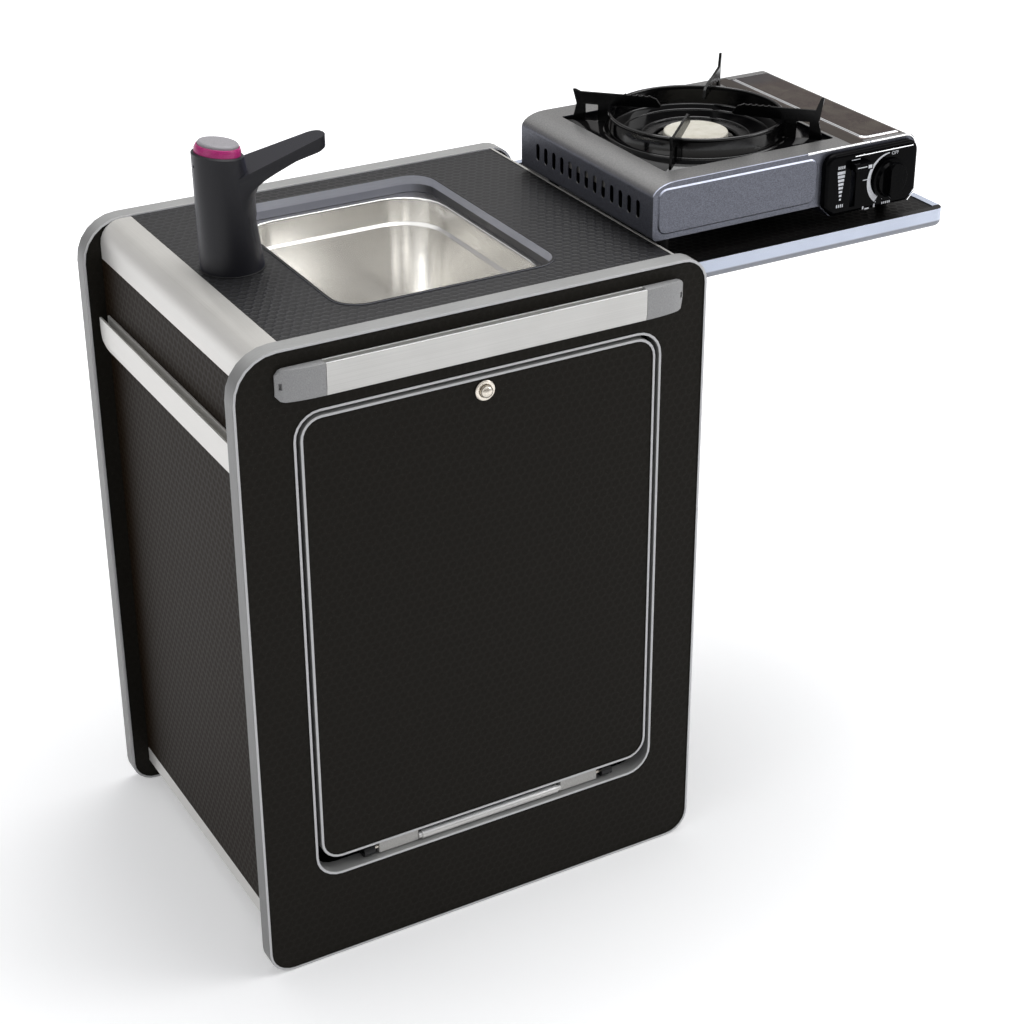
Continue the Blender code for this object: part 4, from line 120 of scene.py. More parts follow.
both = put(tree, "AddShader", {0: floor_shader.outputs[0], 1: light.outputs[0]})
tree.links.new(both.outputs[0], tree.nodes["Material Output"].inputs["Surface"])
floor_mesh.materials.append(floor_paint)

# The room round the floor lights the pod evenly. The camera sees it white, and what it shows in
# reflections runs from a pale ground over a dark wall to a white ceiling.
ROOM_LIGHT, WALL_TOP = 0.42, 0.62
world = bpy.data.worlds.new("studio")
world.use_nodes = True
scene.world = world
tree = world.node_tree
room = tree.nodes["Background"]
room.inputs["Color"].default_value = (0.95, 0.96, 1.0, 1)
room.inputs["Strength"].default_value = ROOM_LIGHT
rise = put(tree, "SeparateXYZ", {0: put(tree, "TexCoord").outputs["Generated"]}).outputs["Z"]
tones = put(tree, "ValToRGB", {0: rise})
stops = tones.color_ramp.elements
stops[0].position, stops[1].position = 0.0, WALL_TOP
stops[0].color, stops[1].color = (0.62, 0.61, 0.60, 1), (1, 1, 1, 1)
for height, shade in ((0.22, (0.34, 0.33, 0.32, 1)), (0.50, (0.36, 0.35, 0.35, 1))):
    stops.new(height).color = shade
wall = put(tree, "Background", {"Color": tones.outputs["Color"]})
white = put(tree, "Background", {"Color": (1, 1, 1, 1), "Strength": 1.0})
ray = put(tree, "LightPath").outputs
shiny = put(tree, "MixShader", {0: ray["Is Glossy Ray"], 1: room.outputs[0], 2: wall.outputs[0]})
direct = math_of(tree, "MAXIMUM", ray["Is Camera Ray"], ray["Is Transmission Ray"])
shown = put(tree, "MixShader", {0: direct, 1: shiny.outputs[0], 2: white.outputs[0]})
tree.links.new(shown.outputs[0], tree.nodes["World Output"].inputs["Surface"])

# One broad lamp hangs over the pod, a second stands to the right in front, and a weak one to the
# left, so that the shadow falls softly to the left.
for lamp_name, place, aim, breadth, power in (
    ("overhead_lamp", (0.5, 0.3, 3.2), (0, 0, 0.5), 2.2, 62),
    ("right_lamp", (2.6, -1.6, 2.2), (0, 0, 0.4), 1.6, 34),
    ("left_lamp", (-2.8, -0.8, 1.8), (0, 0, 0.4), 1.8, 9),
):
    light = bpy.data.lights.new(lamp_name, "AREA")
    light.size = breadth
    light.energy = power
    lamp = bpy.data.objects.new(lamp_name, light)
    lamp.location = place
    lamp.rotation_mode = "QUATERNION"
    lamp.rotation_quaternion = (Vector(aim) - Vector(place)).to_track_quat("-Z", "Y")
    scene.collection.objects.link(lamp)


# The end panels, sides, base, worktop, shelf and table leaf are birch plywood faced with a thin
# brown-black phenolic film, pressed with a fine honeycomb and strewn with pale specks. Each board
# keeps its solid and gets its film here, drawn in the two directions of its own face.
def tone(red, green, blue):
    """A colour as a screen shows it, from 0 to 255, made linear for a shader."""
    return (*Color((red / 255, green / 255, blue / 255)).from_srgb_to_scene_linear(), 1)


def effect(name, takes, gives):
    """A node group with named sockets, each a name and a kind. Returns it and its two ends."""
    group = bpy.data.node_groups.new(name, "ShaderNodeTree")
    for way, pairs in (("INPUT", takes), ("OUTPUT", gives)):
        for socket, kind in pairs.items():
            group.interface.new_socket(name=socket, in_out=way, socket_type="NodeSocket" + kind)
    taken, made = group.nodes.new("NodeGroupInput"), group.nodes.new("NodeGroupOutput")
    return group, taken.outputs, made.inputs


def mixed(tree, share, first, second):
    """One colour passing into another by a share."""
    return put(tree, "Mix", {0: share, 6: first, 7: second}, data_type="RGBA").outputs[2]


def new_material(name, colour, roughness, metallic=0.0, specular=0.5):
    """A material with its uniform values set on the shader, and its node tree to build on."""
    made = bpy.data.materials.new(name)
    made.use_nodes = True
    shader = made.node_tree.nodes["Principled BSDF"]
    shader.inputs["Base Color"].default_value = colour
    shader.inputs["Roughness"].default_value = roughness
    shader.inputs["Metallic"].default_value = metallic
    shader.inputs["Specular IOR Level"].default_value = specular
    return made, made.node_tree, shader


def relief(tree, shader, height, depth, strength=1.0):
    """Raise the surface by a height from 0 to 1 times a depth in metres."""
    bump = put(tree, "Bump", {"Height": height, "Distance": depth, "Strength": strength})
    tree.links.new(bump.outputs[0], shader.inputs["Normal"])


MERGE, FLAT_ANGLE, EDGE_ANGLE = 0.00001, math.radians(0.5), math.radians(40)
NOISE = (0.3, 0.7)


def eased(piece, width=0.0002, segments=2):
    """Round a piece's edges with a live bevel."""
    ease = piece.modifiers.new("ease", "BEVEL")
    ease.width = width
    ease.segments = segments
    ease.limit_method = "ANGLE"
    ease.angle_limit = EDGE_ANGLE
    ease.harden_normals = False


def finished(node, material, edge=0.0003, segments=2):
    """Put a material on a CAD node, and ease its edges with live modifiers."""
    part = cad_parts[node]
    part.data.materials.clear()
    part.data.materials.append(material)
    if "custom_normal" in part.data.attributes:
        part.data.attributes.remove(part.data.attributes["custom_normal"])
    part.data.shade_smooth()
    weld = part.modifiers.new("weld", "WELD")
    weld.merge_threshold = MERGE
    flat = part.modifiers.new("flat", "DECIMATE")
    flat.decimate_type = "DISSOLVE"
    flat.angle_limit = FLAT_ANGLE
    if edge:
        eased(part, edge, segments)
    even = part.modifiers.new("even", "WEIGHTED_NORMAL")
    even.keep_sharp = False


HALF_ROW = math.sqrt(3) / 2
BORDER_FROM, BORDER_TO = 0.28, 0.5
honeycomb, given, made = effect(
    "pressed_honeycomb", {"Across": "Float", "Along": "Float", "Pitch": "Float"},
    {"Border": "Float"},
)
flat_spot = put(honeycomb, "CombineXYZ", {0: given["Across"], 1: given["Along"]}).outputs[0]
cells = math_of(honeycomb, "DIVIDE", 1.0, given["Pitch"])
scaled = put(honeycomb, "VectorMath", {0: flat_spot, "Scale": cells}, operation="SCALE")
distances = []
for shift in ((0, 0, 0), (0.5, HALF_ROW, 0)):
    moved = put(honeycomb, "VectorMath", {0: scaled.outputs[0], 1: shift}, operation="ADD")
    ends = {0: moved.outputs[0], 1: (0.5, HALF_ROW, 1), 2: (-0.5, -HALF_ROW, -1)}
    own = put(honeycomb, "VectorMath", ends, operation="WRAP").outputs[0]
    own = put(honeycomb, "VectorMath", {0: own}, operation="ABSOLUTE").outputs[0]
    lean = {0: own, 1: (0.5, HALF_ROW, 0)}
    slanted = put(honeycomb, "VectorMath", lean, operation="DOT_PRODUCT").outputs["Value"]
    straight = put(honeycomb, "SeparateXYZ", {0: own}).outputs["X"]
    distances.append(math_of(honeycomb, "MAXIMUM", slanted, straight))
nearest = math_of(honeycomb, "MINIMUM", *distances)
honeycomb.links.new(ranged(honeycomb, nearest, BORDER_FROM, BORDER_TO), made["Border"])

SPECK_RIM, SPECK_CORE, SPECK_SHARE = 0.30, 0.10, 0.55
specks, given, made = effect(
    "pale_specks", {"Place": "Vector", "Fineness": "Float"}, {"Speck": "Float"}
)
grains = put(specks, "TexVoronoi", {"Vector": given["Place"], "Scale": given["Fineness"]}).outputs
dots = ranged(specks, grains["Distance"], SPECK_RIM, SPECK_CORE)
some = put(specks, "SeparateXYZ", {0: grains["Color"]}).outputs["X"]
lit = math_of(specks, "MULTIPLY", dots, ranged(specks, some, SPECK_SHARE, 1.0))
specks.links.new(lit, made["Speck"])

CELL_PITCH, SPECK_FINENESS, GRAIN_FINENESS = 0.0102, 900, 1400
RIDGE_NOISE_SIZE, RIDGE_LIGHT_LEAST, GRAIN_HEIGHT = 9, 0.55, 0.35


def film(name, across, along, cell, border, speck, roughness, specular, depth):
    """The pressed film on a board whose face runs along two of the axes X, Y and Z."""
    made, tree, shader = new_material(name, cell, roughness, specular=specular)
    spot = put(tree, "TexCoord").outputs["Object"]
    axes = put(tree, "SeparateXYZ", {0: spot}).outputs
    pressed = put(tree, "Group", node_tree=honeycomb)
    pressed.inputs["Pitch"].default_value = CELL_PITCH
    tree.links.new(axes[across], pressed.inputs["Across"])
    tree.links.new(axes[along], pressed.inputs["Along"])
    edge = pressed.outputs["Border"]
    pale = put(tree, "Group", {0: spot}, node_tree=specks)
    pale.inputs["Fineness"].default_value = SPECK_FINENESS
    # The honeycomb's ridges are painted lighter than its cells, a painted highlight on the pressed
    # relief, and a noise makes that painted highlight uneven.
    ridge_noise = put(tree, "TexNoise", {"Vector": spot, "Scale": RIDGE_NOISE_SIZE, "Detail": 3}).outputs[0]
    ridge_light = math_of(tree, "MULTIPLY", edge, ranged(tree, ridge_noise, *NOISE, RIDGE_LIGHT_LEAST, 1.0))
    colour = mixed(tree, ridge_light, cell, border)
    colour = mixed(tree, pale.outputs["Speck"], colour, speck)
    tree.links.new(colour, shader.inputs["Base Color"])
    gloss = ranged(tree, edge, 0, 1, roughness + 0.08, roughness - 0.05)
    tree.links.new(gloss, shader.inputs["Roughness"])
    fine = put(tree, "TexNoise", {"Vector": spot, "Scale": GRAIN_FINENESS, "Detail": 2}).outputs[0]
    raised = math_of(tree, "ADD", edge, math_of(tree, "MULTIPLY", fine, GRAIN_HEIGHT))
    relief(tree, shader, raised, depth)
    return made


upright_film = film(
    "upright_film", "X", "Z", tone(26, 24, 20), tone(29, 27, 23), tone(62, 58, 51),
    roughness=0.5, specular=0.08, depth=0.0001,
)
side_film = film(
    "side_film", "Y", "Z", tone(27, 19, 11), tone(29, 21, 12), tone(60, 51, 40),
    roughness=0.5, specular=0.07, depth=0.00004,
)
worktop_film = film(
    "worktop_film", "X", "Y", tone(15, 15, 16), tone(34, 34, 37), tone(84, 84, 88),
    roughness=0.42, specular=0.4, depth=0.00036,
)
shelf_film = film(
    "shelf_film", "X", "Y", tone(9, 8, 8), tone(13, 12, 11), tone(34, 31, 28),
    roughness=0.4, specular=0.16, depth=0.00018,
)
for board, facing_film in (
    ("front_panel", upright_film), ("rear_panel", upright_film), ("table_leaf", upright_film),
    ("left_side_board", side_film), ("right_side_board", side_film),
    ("worktop", worktop_film), ("base_board", worktop_film), ("side_shelf", shelf_film),
):
    finished(board, facing_film)


# Soft grey bands cover every cut edge. They are co-extruded plastic with a brushed silver face,
# pushed on and closed into a ring round each panel, the leaf, the front opening and the sink's
# cut-out. Their lips are painted paler as a painted highlight, and their left flanks are painted
# darker as painted shade.
CLOUD_SIZE = 14.0
grain, given, made = effect(
    "drawn_lines", {"Place": "Vector", "Across": "Vector"}, {"Line": "Float", "Cloud": "Float"}
)
stretch = {0: given["Place"], 1: given["Across"]}
stretched = put(grain, "VectorMath", stretch, operation="MULTIPLY").outputs[0]
fibres = {"Vector": stretched, "Scale": 1.0, "Detail": 4, "Roughness": 0.6}
lines = put(grain, "TexNoise", fibres).outputs[0]
clouds = {"Vector": given["Place"], "Scale": CLOUD_SIZE, "Detail": 3}
cloud = put(grain, "TexNoise", clouds).outputs[0]
grain.links.new(ranged(grain, lines, *NOISE), made["Line"])
grain.links.new(ranged(grain, cloud, *NOISE), made["Cloud"])


def drawn(name, dark, light, roughness, across, metallic=0.0, depth=0.00002, spread=1.0):
    """A finish with fine lines along the piece and a faint cloud: across has few waves along it."""
    made, tree, shader = new_material(name, light, roughness, metallic)
    spot = put(tree, "TexCoord").outputs["Object"]
    lined = put(tree, "Group", {0: spot}, node_tree=grain)
    lined.inputs["Across"].default_value = across
    share = math_of(tree, "MULTIPLY", lined.outputs["Line"], 0.5)
    share = math_of(tree, "ADD", share, math_of(tree, "MULTIPLY", lined.outputs["Cloud"], 0.5))
    tree.links.new(mixed(tree, share, dark, light), shader.inputs["Base Color"])
    rougher, smoother = roughness + 0.07 * spread, roughness - 0.05 * spread
    rough = ranged(tree, lined.outputs["Line"], 0, 1, rougher, smoother)
    tree.links.new(rough, shader.inputs["Roughness"])
    relief(tree, shader, lined.outputs["Line"], depth)
    return made


def tint(material, colour, *masks, amount=1.0):
    """Pass a material's colour into another where all the masks say so.

    A mask reads the surface's place ("Object") or the way it faces ("Normal") along one axis, and
    goes from 0 to 1 between two values there.
    """
    tree = material.node_tree
    base = tree.nodes["Principled BSDF"].inputs["Base Color"]
    read = put(tree, "TexCoord").outputs
    share = amount
    for kind, axis, start, end in masks:
        along = put(tree, "SeparateXYZ", {0: read[kind]}).outputs[axis]
        share = math_of(tree, "MULTIPLY", share, ranged(tree, along, start, end))
    tree.links.new(mixed(tree, share, base.links[0].from_socket, colour), base)


NEGATIVE_FACING = (-0.5, -0.9)
band_grey = drawn("band_grey", tone(142, 142, 141), tone(162, 162, 160), 0.36, (60, 900, 60))
# Painted shade on the flanks that face left.
tint(band_grey, tone(122, 122, 121), ("Normal", "X", *NEGATIVE_FACING))
# Painted highlight on the front and back lips.
for side in (1, -1):
    tint(band_grey, tone(206, 206, 207), ("Normal", "Y", 0.6 * side, 0.95 * side))
for band in (
    "front_panel_edge_band", "opening_edge_band", "rear_panel_edge_band", "leaf_edge_band"
):
    finished(band, band_grey, edge=0.00035, segments=3)

BAND_STEP = 0.001
cutout_grey = drawn("cutout_grey", tone(152, 154, 163), tone(170, 172, 182), 0.34, (60, 60, 900))
# Below its middle the band is painted darker as painted shade inside the cut-out, darkest where it
# faces left.
tree = cutout_grey.node_tree
sideways = put(tree, "SeparateXYZ", {0: put(tree, "TexCoord").outputs["Normal"]}).outputs["X"]
in_shade = ranged(tree, sideways, -0.4, -0.9)
lower = mixed(tree, in_shade, tone(124, 126, 136), tone(50, 50, 54))
cutout_low, cutout_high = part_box("sink_cutout_band")
middle_height = (cutout_low.z + cutout_high.z) / 2
tint(cutout_grey, lower, ("Object", "Z", middle_height, middle_height - BAND_STEP))
# Faces that look up are painted near black, a painted shadow line round the cut-out.
tint(cutout_grey, tone(24, 24, 26), ("Normal", "Z", 0.15, 0.5))
finished("sink_cutout_band", cutout_grey)

# The corner profile, skids, hanging rails and sink holders are extruded aluminium, silk anodised,
# cut to length and screwed to the boards. Faces that look up or to the left are painted brighter,
# as painted light.
along_x = drawn(
    "anodised_along_x", tone(192, 191, 188), tone(210, 209, 206), 0.36, (4, 1500, 1500), 0.4
)
# Painted highlight on the faces that look up.
tint(along_x, tone(250, 250, 250), ("Normal", "Z", 0.4, 0.8))
along_y = drawn(
    "anodised_along_y", tone(192, 190, 185), tone(210, 208, 203), 0.38, (1500, 4, 1500), 0.4
)
# Painted light on the faces that look left.
tint(along_y, tone(228, 226, 222), ("Normal", "X", *NEGATIVE_FACING))
for section in ("front_hanging_rail", "sink_holder_front", "sink_holder_rear"):
    finished(section, along_x)
for section in (
    "left_corner_profile", "left_bottom_profile", "right_bottom_profile", "left_hanging_rail",
    "right_hanging_rail", "worktop_edge_band", "shelf_hook_strip",
):
    finished(section, along_y)

# The shelf is edged with an extruded aluminium section, silk anodised and pushed onto the board.
# Its lower part is painted darker as painted shade, and along the front the narrow ledge on its
# top is painted near black as painted shade.
LOWER_SHARE, LEDGE_DEPTH = 0.4, 0.012
shelf_silver = drawn(
    "shelf_silver", tone(188, 196, 212), tone(204, 212, 229), 0.34, (900, 900, 900), 0.4
)
section_low, section_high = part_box("shelf_edge_section")
turn_height = section_low.z * (1 - LOWER_SHARE) + section_high.z * LOWER_SHARE
tint(shelf_silver, tone(128, 131, 138), ("Object", "Z", turn_height, turn_height - 0.0015))
ledge = ("Object", "Y", section_low.y + LEDGE_DEPTH, section_low.y + LEDGE_DEPTH - 0.001)
# Painted shade on the ledge along the front.
tint(shelf_silver, tone(10, 9, 9), ("Normal", "Z", 0.6, 0.9), ledge)
finished("shelf_edge_section", shelf_silver)

# The rail's end caps and the leaf's hinge blocks are grey moulded plastic with a fine spark-eroded
# grain. The leaf's brackets and the shelf's consoles are black.
grained, given, made = effect(
    "moulded_grain", {"Place": "Vector", "Fineness": "Float"}, {"Grain": "Float"}
)
pitted = {"Vector": given["Place"], "Scale": given["Fineness"], "Detail": 3}
pores = put(grained, "TexNoise", pitted).outputs[0]
grained.links.new(ranged(grained, pores, *NOISE), made["Grain"])


def moulded(name, dark, light, roughness, fineness=1100, depth=0.00005, specular=0.5):
    """A moulded plastic with a fine grain that also varies its tone and gloss."""
    made, tree, shader = new_material(name, light, roughness, specular=specular)
    spot = put(tree, "TexCoord").outputs["Object"]
    pored = put(tree, "Group", {0: spot}, node_tree=grained)
    pored.inputs["Fineness"].default_value = fineness
    pore = pored.outputs["Grain"]
    tree.links.new(mixed(tree, pore, dark, light), shader.inputs["Base Color"])
    gloss = ranged(tree, pore, 0, 1, roughness + 0.06, roughness - 0.04)
    tree.links.new(gloss, shader.inputs["Roughness"])
    relief(tree, shader, pore, depth)
    return made


grey_moulding = moulded("grey_moulding", tone(142, 142, 142), tone(166, 166, 166), 0.42)
for moulding in ("front_rail_cap_left", "front_rail_cap_right", "waste_water_canister_cap"):
    finished(moulding, grey_moulding, edge=0.0005, segments=3)
block_grey = moulded("block_grey", tone(176, 174, 170), tone(196, 194, 190), 0.45)
for moulding in ("hinge_block_left", "hinge_block_right"):
    finished(moulding, block_grey, edge=0.0005, segments=3)
black_moulding = moulded("black_moulding", tone(12, 12, 13), tone(20, 20, 21), 0.4, specular=0.3)
for moulding in (
    "hinge_bracket_left", "hinge_bracket_right", "shelf_console_front", "shelf_console_rear"
):
    finished(moulding, black_moulding)

# The lock is a push button in a turned brass rosette with a satin nickel finish, and its case, bolt
# and the hinge pins are nickel plated steel.
satin_nickel = drawn(
    "satin_nickel", tone(196, 188, 176), tone(222, 216, 206), 0.26, (700, 700, 700), 1.0, 0.00001
)
for fitting in ("hinge_pin_left", "hinge_pin_right", "lock_case", "lock_bolt", "lock_button"):
    finished(fitting, satin_nickel, edge=0.0005, segments=3)

# The sink is deep-drawn stainless steel with a satin inside, hung under the worktop. Its drain
# fitting is turned from the same steel. The rear wall, which looks at the camera, is painted a
# little darker as painted shade.
sink_steel = drawn(
    "sink_steel", tone(239, 238, 235), tone(244, 243, 241), 0.25, (500, 500, 250), 1.0,
    depth=0.0000002, spread=0.25,
)
# Painted shade on the walls that face the camera.
tint(sink_steel, tone(226, 224, 220), ("Normal", "Y", *NEGATIVE_FACING))
finished("sink_bowl", sink_steel)
finished("drain_fitting", sink_steel)


# A stamped steel strainer lies loose in the drain, dished in the middle and turned down at its rim.
# A small turned nickel knob on it lifts it out.
def turned(bm, profile, foot, steps=96):
    """Spin a line of (radius, height) points fully round the upright axis through a foot point."""
    line = [bm.verts.new((foot[0] + radius, foot[1], foot[2] + rise)) for radius, rise in profile]
    edges = [bm.edges.new(pair) for pair in zip(line, line[1:])]
    bmesh.ops.spin(
        bm, geom=line + edges, cent=(foot[0], foot[1], 0), axis=(0, 0, 1), dvec=(0, 0, 0),
        angle=math.tau, steps=steps, use_merge=True, use_duplicate=False,
    )


def new_piece(name, bm, material, body, sharp=35, up=False):
    """Close a mesh's seams, turn its faces outwards, and set it riding on its body."""
    bmesh.ops.remove_doubles(bm, verts=bm.verts, dist=MERGE)
    bmesh.ops.recalc_face_normals(bm, faces=bm.faces)
    if up and sum(face.normal.z * face.calc_area() for face in bm.faces) < 0:
        bmesh.ops.reverse_faces(bm, faces=bm.faces)
    mesh = bpy.data.meshes.new(name)
    bm.to_mesh(mesh)
    bm.free()
    mesh.shade_smooth()
    mesh.set_sharp_from_angle(angle=math.radians(sharp))
    mesh.materials.append(material)
    piece = bpy.data.objects.new(name, mesh)
    scene.collection.objects.link(piece)
    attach(piece, body)
    return piece


STRAINER_RISE, STRAINER_RIM, DISH = 0.0020, 0.0205, 0.0012
KNOB_HEIGHT, KNOB_WIDEST, KNOB_NECK = 0.006, 0.0052, 0.0022
drain_low, drain_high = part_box("drain_fitting")
drain = (drain_low + drain_high) / 2
drain.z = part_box("sink_bowl")[0].z + STRAINER_RISE
strainer_bm = bmesh.new()
turned(
    strainer_bm,
    [(0.0, -DISH), (0.006, -DISH), (0.0105, 0.0), (STRAINER_RIM - 0.002, 0.0),
     (STRAINER_RIM, -0.0009), (STRAINER_RIM, -0.0022)],
    drain, steps=48,
)
new_piece("drain_strainer", strainer_bm, sink_steel, "cabinet", up=True)
knob_bm = bmesh.new()
turned(
    knob_bm,
    [(0.0, KNOB_HEIGHT), (0.004, KNOB_HEIGHT - 0.0002), (KNOB_WIDEST, 0.0045), (0.0046, 0.003),
     (KNOB_NECK, 0.0015), (KNOB_NECK, -0.0014)],
    drain, steps=32,
)
new_piece("drain_strainer_knob", knob_bm, satin_nickel, "cabinet", up=True)


# Between the leaf's hinge blocks runs a turned aluminium rod, stepped down at both ends to go into
# the blocks. Bags and towels hang from it when the leaf is closed.
def bend(centre, radius, start, sweep, steps=8):
    """Points of an arc in a profile, from a start angle and through a sweep in degrees."""
    turns = [math.radians(start + sweep * step / steps) for step in range(steps + 1)]
    return [(centre[0] + radius * math.cos(t), centre[1] + radius * math.sin(t)) for t in turns]


def placed(bm, place, angle, axis):
    """Turn a mesh about an axis through the origin, and then move it to its place."""
    matrix = Matrix.Translation(place) @ Matrix.Rotation(angle, 4, axis)
    bmesh.ops.transform(bm, matrix=matrix, verts=bm.verts)


ROD_RADIUS, ROD_NECK, NECK_LENGTH, ROD_EASE = 0.0048, 0.0036, 0.0040, 0.0006
bar_low, bar_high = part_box("leaf_hook_bar")
rod_length = bar_high.x - bar_low.x
rod_bm = bmesh.new()
turned(
    rod_bm,
    [
        (0.0, 0.0), (ROD_NECK, 0.0), (ROD_NECK, NECK_LENGTH),
        *bend((ROD_RADIUS - ROD_EASE, NECK_LENGTH + ROD_EASE), ROD_EASE, -90, 90, 4),
        *bend((ROD_RADIUS - ROD_EASE, rod_length - NECK_LENGTH - ROD_EASE), ROD_EASE, 0, 90, 4),
        (ROD_NECK, rod_length - NECK_LENGTH), (ROD_NECK, rod_length), (0.0, rod_length),
    ],
    (0, 0, 0), steps=48,
)
rod_start = (bar_low.x, bar_low.y + ROD_RADIUS, bar_low.z + ROD_RADIUS)
placed(rod_bm, rod_start, math.pi / 2, "Y")
rod = new_piece("leaf_hook_rod", rod_bm, along_x, "table_leaf")
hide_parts("leaf_hook_bar")

# The tap is one charcoal moulding with a silky grain: a tapering body and a flat-topped spout. A
# magenta ring and a push button close its top, and a thin black seal lies round its foot.
tap_charcoal = moulded("tap_charcoal", tone(15, 15, 19), tone(25, 25, 31), 0.36, 1600, 0.00004, 0.3)
tap_shader = tap_charcoal.node_tree.nodes["Principled BSDF"]
tap_shader.inputs["Sheen Weight"].default_value = 0.06
tap_shader.inputs["Sheen Roughness"].default_value = 0.4
tap_shader.inputs["Sheen Tint"].default_value = tone(190, 190, 255)
finished("tap_body", tap_charcoal, edge=0.0006, segments=3)
tap_magenta = moulded("tap_magenta", tone(160, 24, 98), tone(192, 46, 128), 0.3, 700, 0.00002)
finished("tap_ring", tap_magenta, edge=0.0004)
tap_lilac = moulded("tap_lilac", tone(136, 134, 137), tone(156, 153, 158), 0.4, 1300)
finished("tap_button", tap_lilac, edge=0.0006, segments=3)

TAP_AXIS, SEAL_IN, SEAL_OUT, SEAL_HALF = 0.0354, 0.0322, 0.0342, 0.0006
tap_low, tap_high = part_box("tap_body")
tap_foot = (tap_low.x + TAP_AXIS, (tap_low.y + tap_high.y) / 2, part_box("worktop")[1].z)
seal_bm = bmesh.new()
turned(
    seal_bm,
    [
        (SEAL_IN, 0.0), (SEAL_OUT, 0.0), *bend((SEAL_OUT, SEAL_HALF), SEAL_HALF, -90, 180, 6),
        (SEAL_IN, 2 * SEAL_HALF),
    ],
    tap_foot,
)
new_piece("tap_foot_seal", seal_bm, black_moulding, "cabinet")

# The canisters are blow-moulded polyethylene, milky and slightly see-through in life, so that the
# water shows as a cooler band. Their screw caps are injection moulded, and the hoses grey PVC.
WATER_LEVEL = 0.292
tank_white = moulded("tank_white", tone(222, 222, 216), tone(236, 236, 231), 0.42, 260, 0.00012)
tint(tank_white, tone(206, 214, 219), ("Object", "Z", WATER_LEVEL, WATER_LEVEL - 0.006))
finished("fresh_water_canister", tank_white, edge=0.0008, segments=3)
finished("waste_water_canister", tank_white, edge=0.0008, segments=3)
cap_blue = moulded("cap_blue", tone(34, 74, 152), tone(48, 92, 176), 0.4, 900)
finished("fresh_water_canister_cap", cap_blue, edge=0.0005, segments=3)
hose_grey = drawn(
    "hose_grey", tone(150, 154, 157), tone(182, 186, 189), 0.3, (300, 300, 1400), depth=0.00008
)
finished("water_hose", hose_grey, edge=0)
finished("drain_hose", hose_grey, edge=0)

# The stove's case is pressed from sheet steel and finished in a blue-grey metallic lacquer with a
# fine sparkle. On the shoulders, where it faces up, the lacquer is painted paler and warmer as
# painted light, and along its folded front edge it gets a painted bluish highlight.
FLAKE_FINENESS = 1500
stove_low, stove_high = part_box("stove_case")
stove_lacquer, tree, shader = new_material("stove_lacquer", tone(112, 114, 124), 0.34, 0.72)
spot = put(tree, "TexCoord").outputs["Object"]
flakes = put(tree, "TexVoronoi", {"Vector": spot, "Scale": FLAKE_FINENESS}).outputs
flake = put(tree, "SeparateXYZ", {0: flakes["Color"]}).outputs["X"]
cool = mixed(tree, flake, tone(78, 80, 88), tone(106, 108, 118))
pale = mixed(tree, flake, tone(126, 126, 126), tone(150, 149, 148))
tree.links.new(cool, shader.inputs["Base Color"])
front_fold = ("Object", "Y", stove_low.y + 0.004, stove_low.y + 0.003)
# Painted highlight along the folded front edge.
tint(stove_lacquer, tone(214, 219, 238), ("Normal", "Z", 0.2, 0.5), front_fold)
behind_fold = ("Object", "Y", stove_low.y + 0.003, stove_low.y + 0.005)
# Painted light on the shoulders that face up, behind the fold.
tint(stove_lacquer, pale, ("Normal", "Z", 0.25, 0.75), behind_fold)
tree.links.new(ranged(tree, flake, 0, 1, 0.42, 0.28), shader.inputs["Roughness"])
relief(tree, shader, flake, 0.00003, 0.6)
finished("stove_case", stove_lacquer, edge=0.0005, segments=3)
finished("stove_floor", black_moulding)


# Behind the side slots stands a bright sheet that keeps the burner's heat off the case, and a strip
# of dark polished sheet covers the deck between the pan and the lid.
def sheet(bm, low, high, corner=0.0):
    """A flat sheet that fills a box, its upright corners rounded."""
    low, high = Vector(low), Vector(high)
    matrix = Matrix.Translation((low + high) / 2) @ Matrix.Diagonal((*(high - low), 1))
    made = bmesh.ops.create_cube(bm, size=1, matrix=matrix)
    if corner:
        edges = {edge for vert in made["verts"] for edge in vert.link_edges}
        half = (high.z - low.z) / 2
        upright = [e for e in edges if abs(e.verts[0].co.z - e.verts[1].co.z) > half]
        bmesh.ops.bevel(
            bm, geom=upright, offset=corner, affect="EDGES", segments=5, profile=0.5, material=-1
        )


SHIELD_IN, SHIELD_SHEET = 0.0019, 0.0007
SHIELD_FRONT, SHIELD_REAR, SHIELD_LOW, SHIELD_HIGH = 0.064, 0.150, 0.0335, 0.0165
pan_low, pan_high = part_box("drip_pan_with_prongs")
lid_low, lid_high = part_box("cartridge_lid")
stove_top = stove_high.z
bare_sheet = drawn(
    "bare_sheet", tone(150, 146, 140), tone(196, 193, 188), 0.3, (300, 300, 40), 0.9
)
shield_bm = bmesh.new()
shield_left = stove_low.x + SHIELD_IN
sheet(
    shield_bm, (shield_left, pan_low.y + SHIELD_FRONT, stove_top - SHIELD_LOW),
    (shield_left + SHIELD_SHEET, pan_low.y + SHIELD_REAR, stove_top - SHIELD_HIGH),
)
eased(new_piece("heat_shield", shield_bm, bare_sheet, "gas_stove"))

DECK_LEFT, DECK_RIGHT, DECK_FRONT, DECK_REAR = 0.0014, 0.0006, 0.0055, 0.0040
DECK_SUNK, DECK_PROUD, DECK_CORNER = 0.0002, 0.0003, 0.002
brown_steel = drawn(
    "brown_steel", tone(66, 55, 48), tone(124, 112, 102), 0.12, (90, 14, 90), 1.0, 0.00001
)
deck_bm = bmesh.new()
sheet(
    deck_bm, (pan_high.x + DECK_LEFT, stove_low.y + DECK_FRONT, stove_top - DECK_SUNK),
    (lid_low.x - DECK_RIGHT, stove_high.y - DECK_REAR, stove_top + DECK_PROUD), DECK_CORNER,
)
eased(new_piece("top_deck_strip", deck_bm, brown_steel, "gas_stove"), 0.0001)


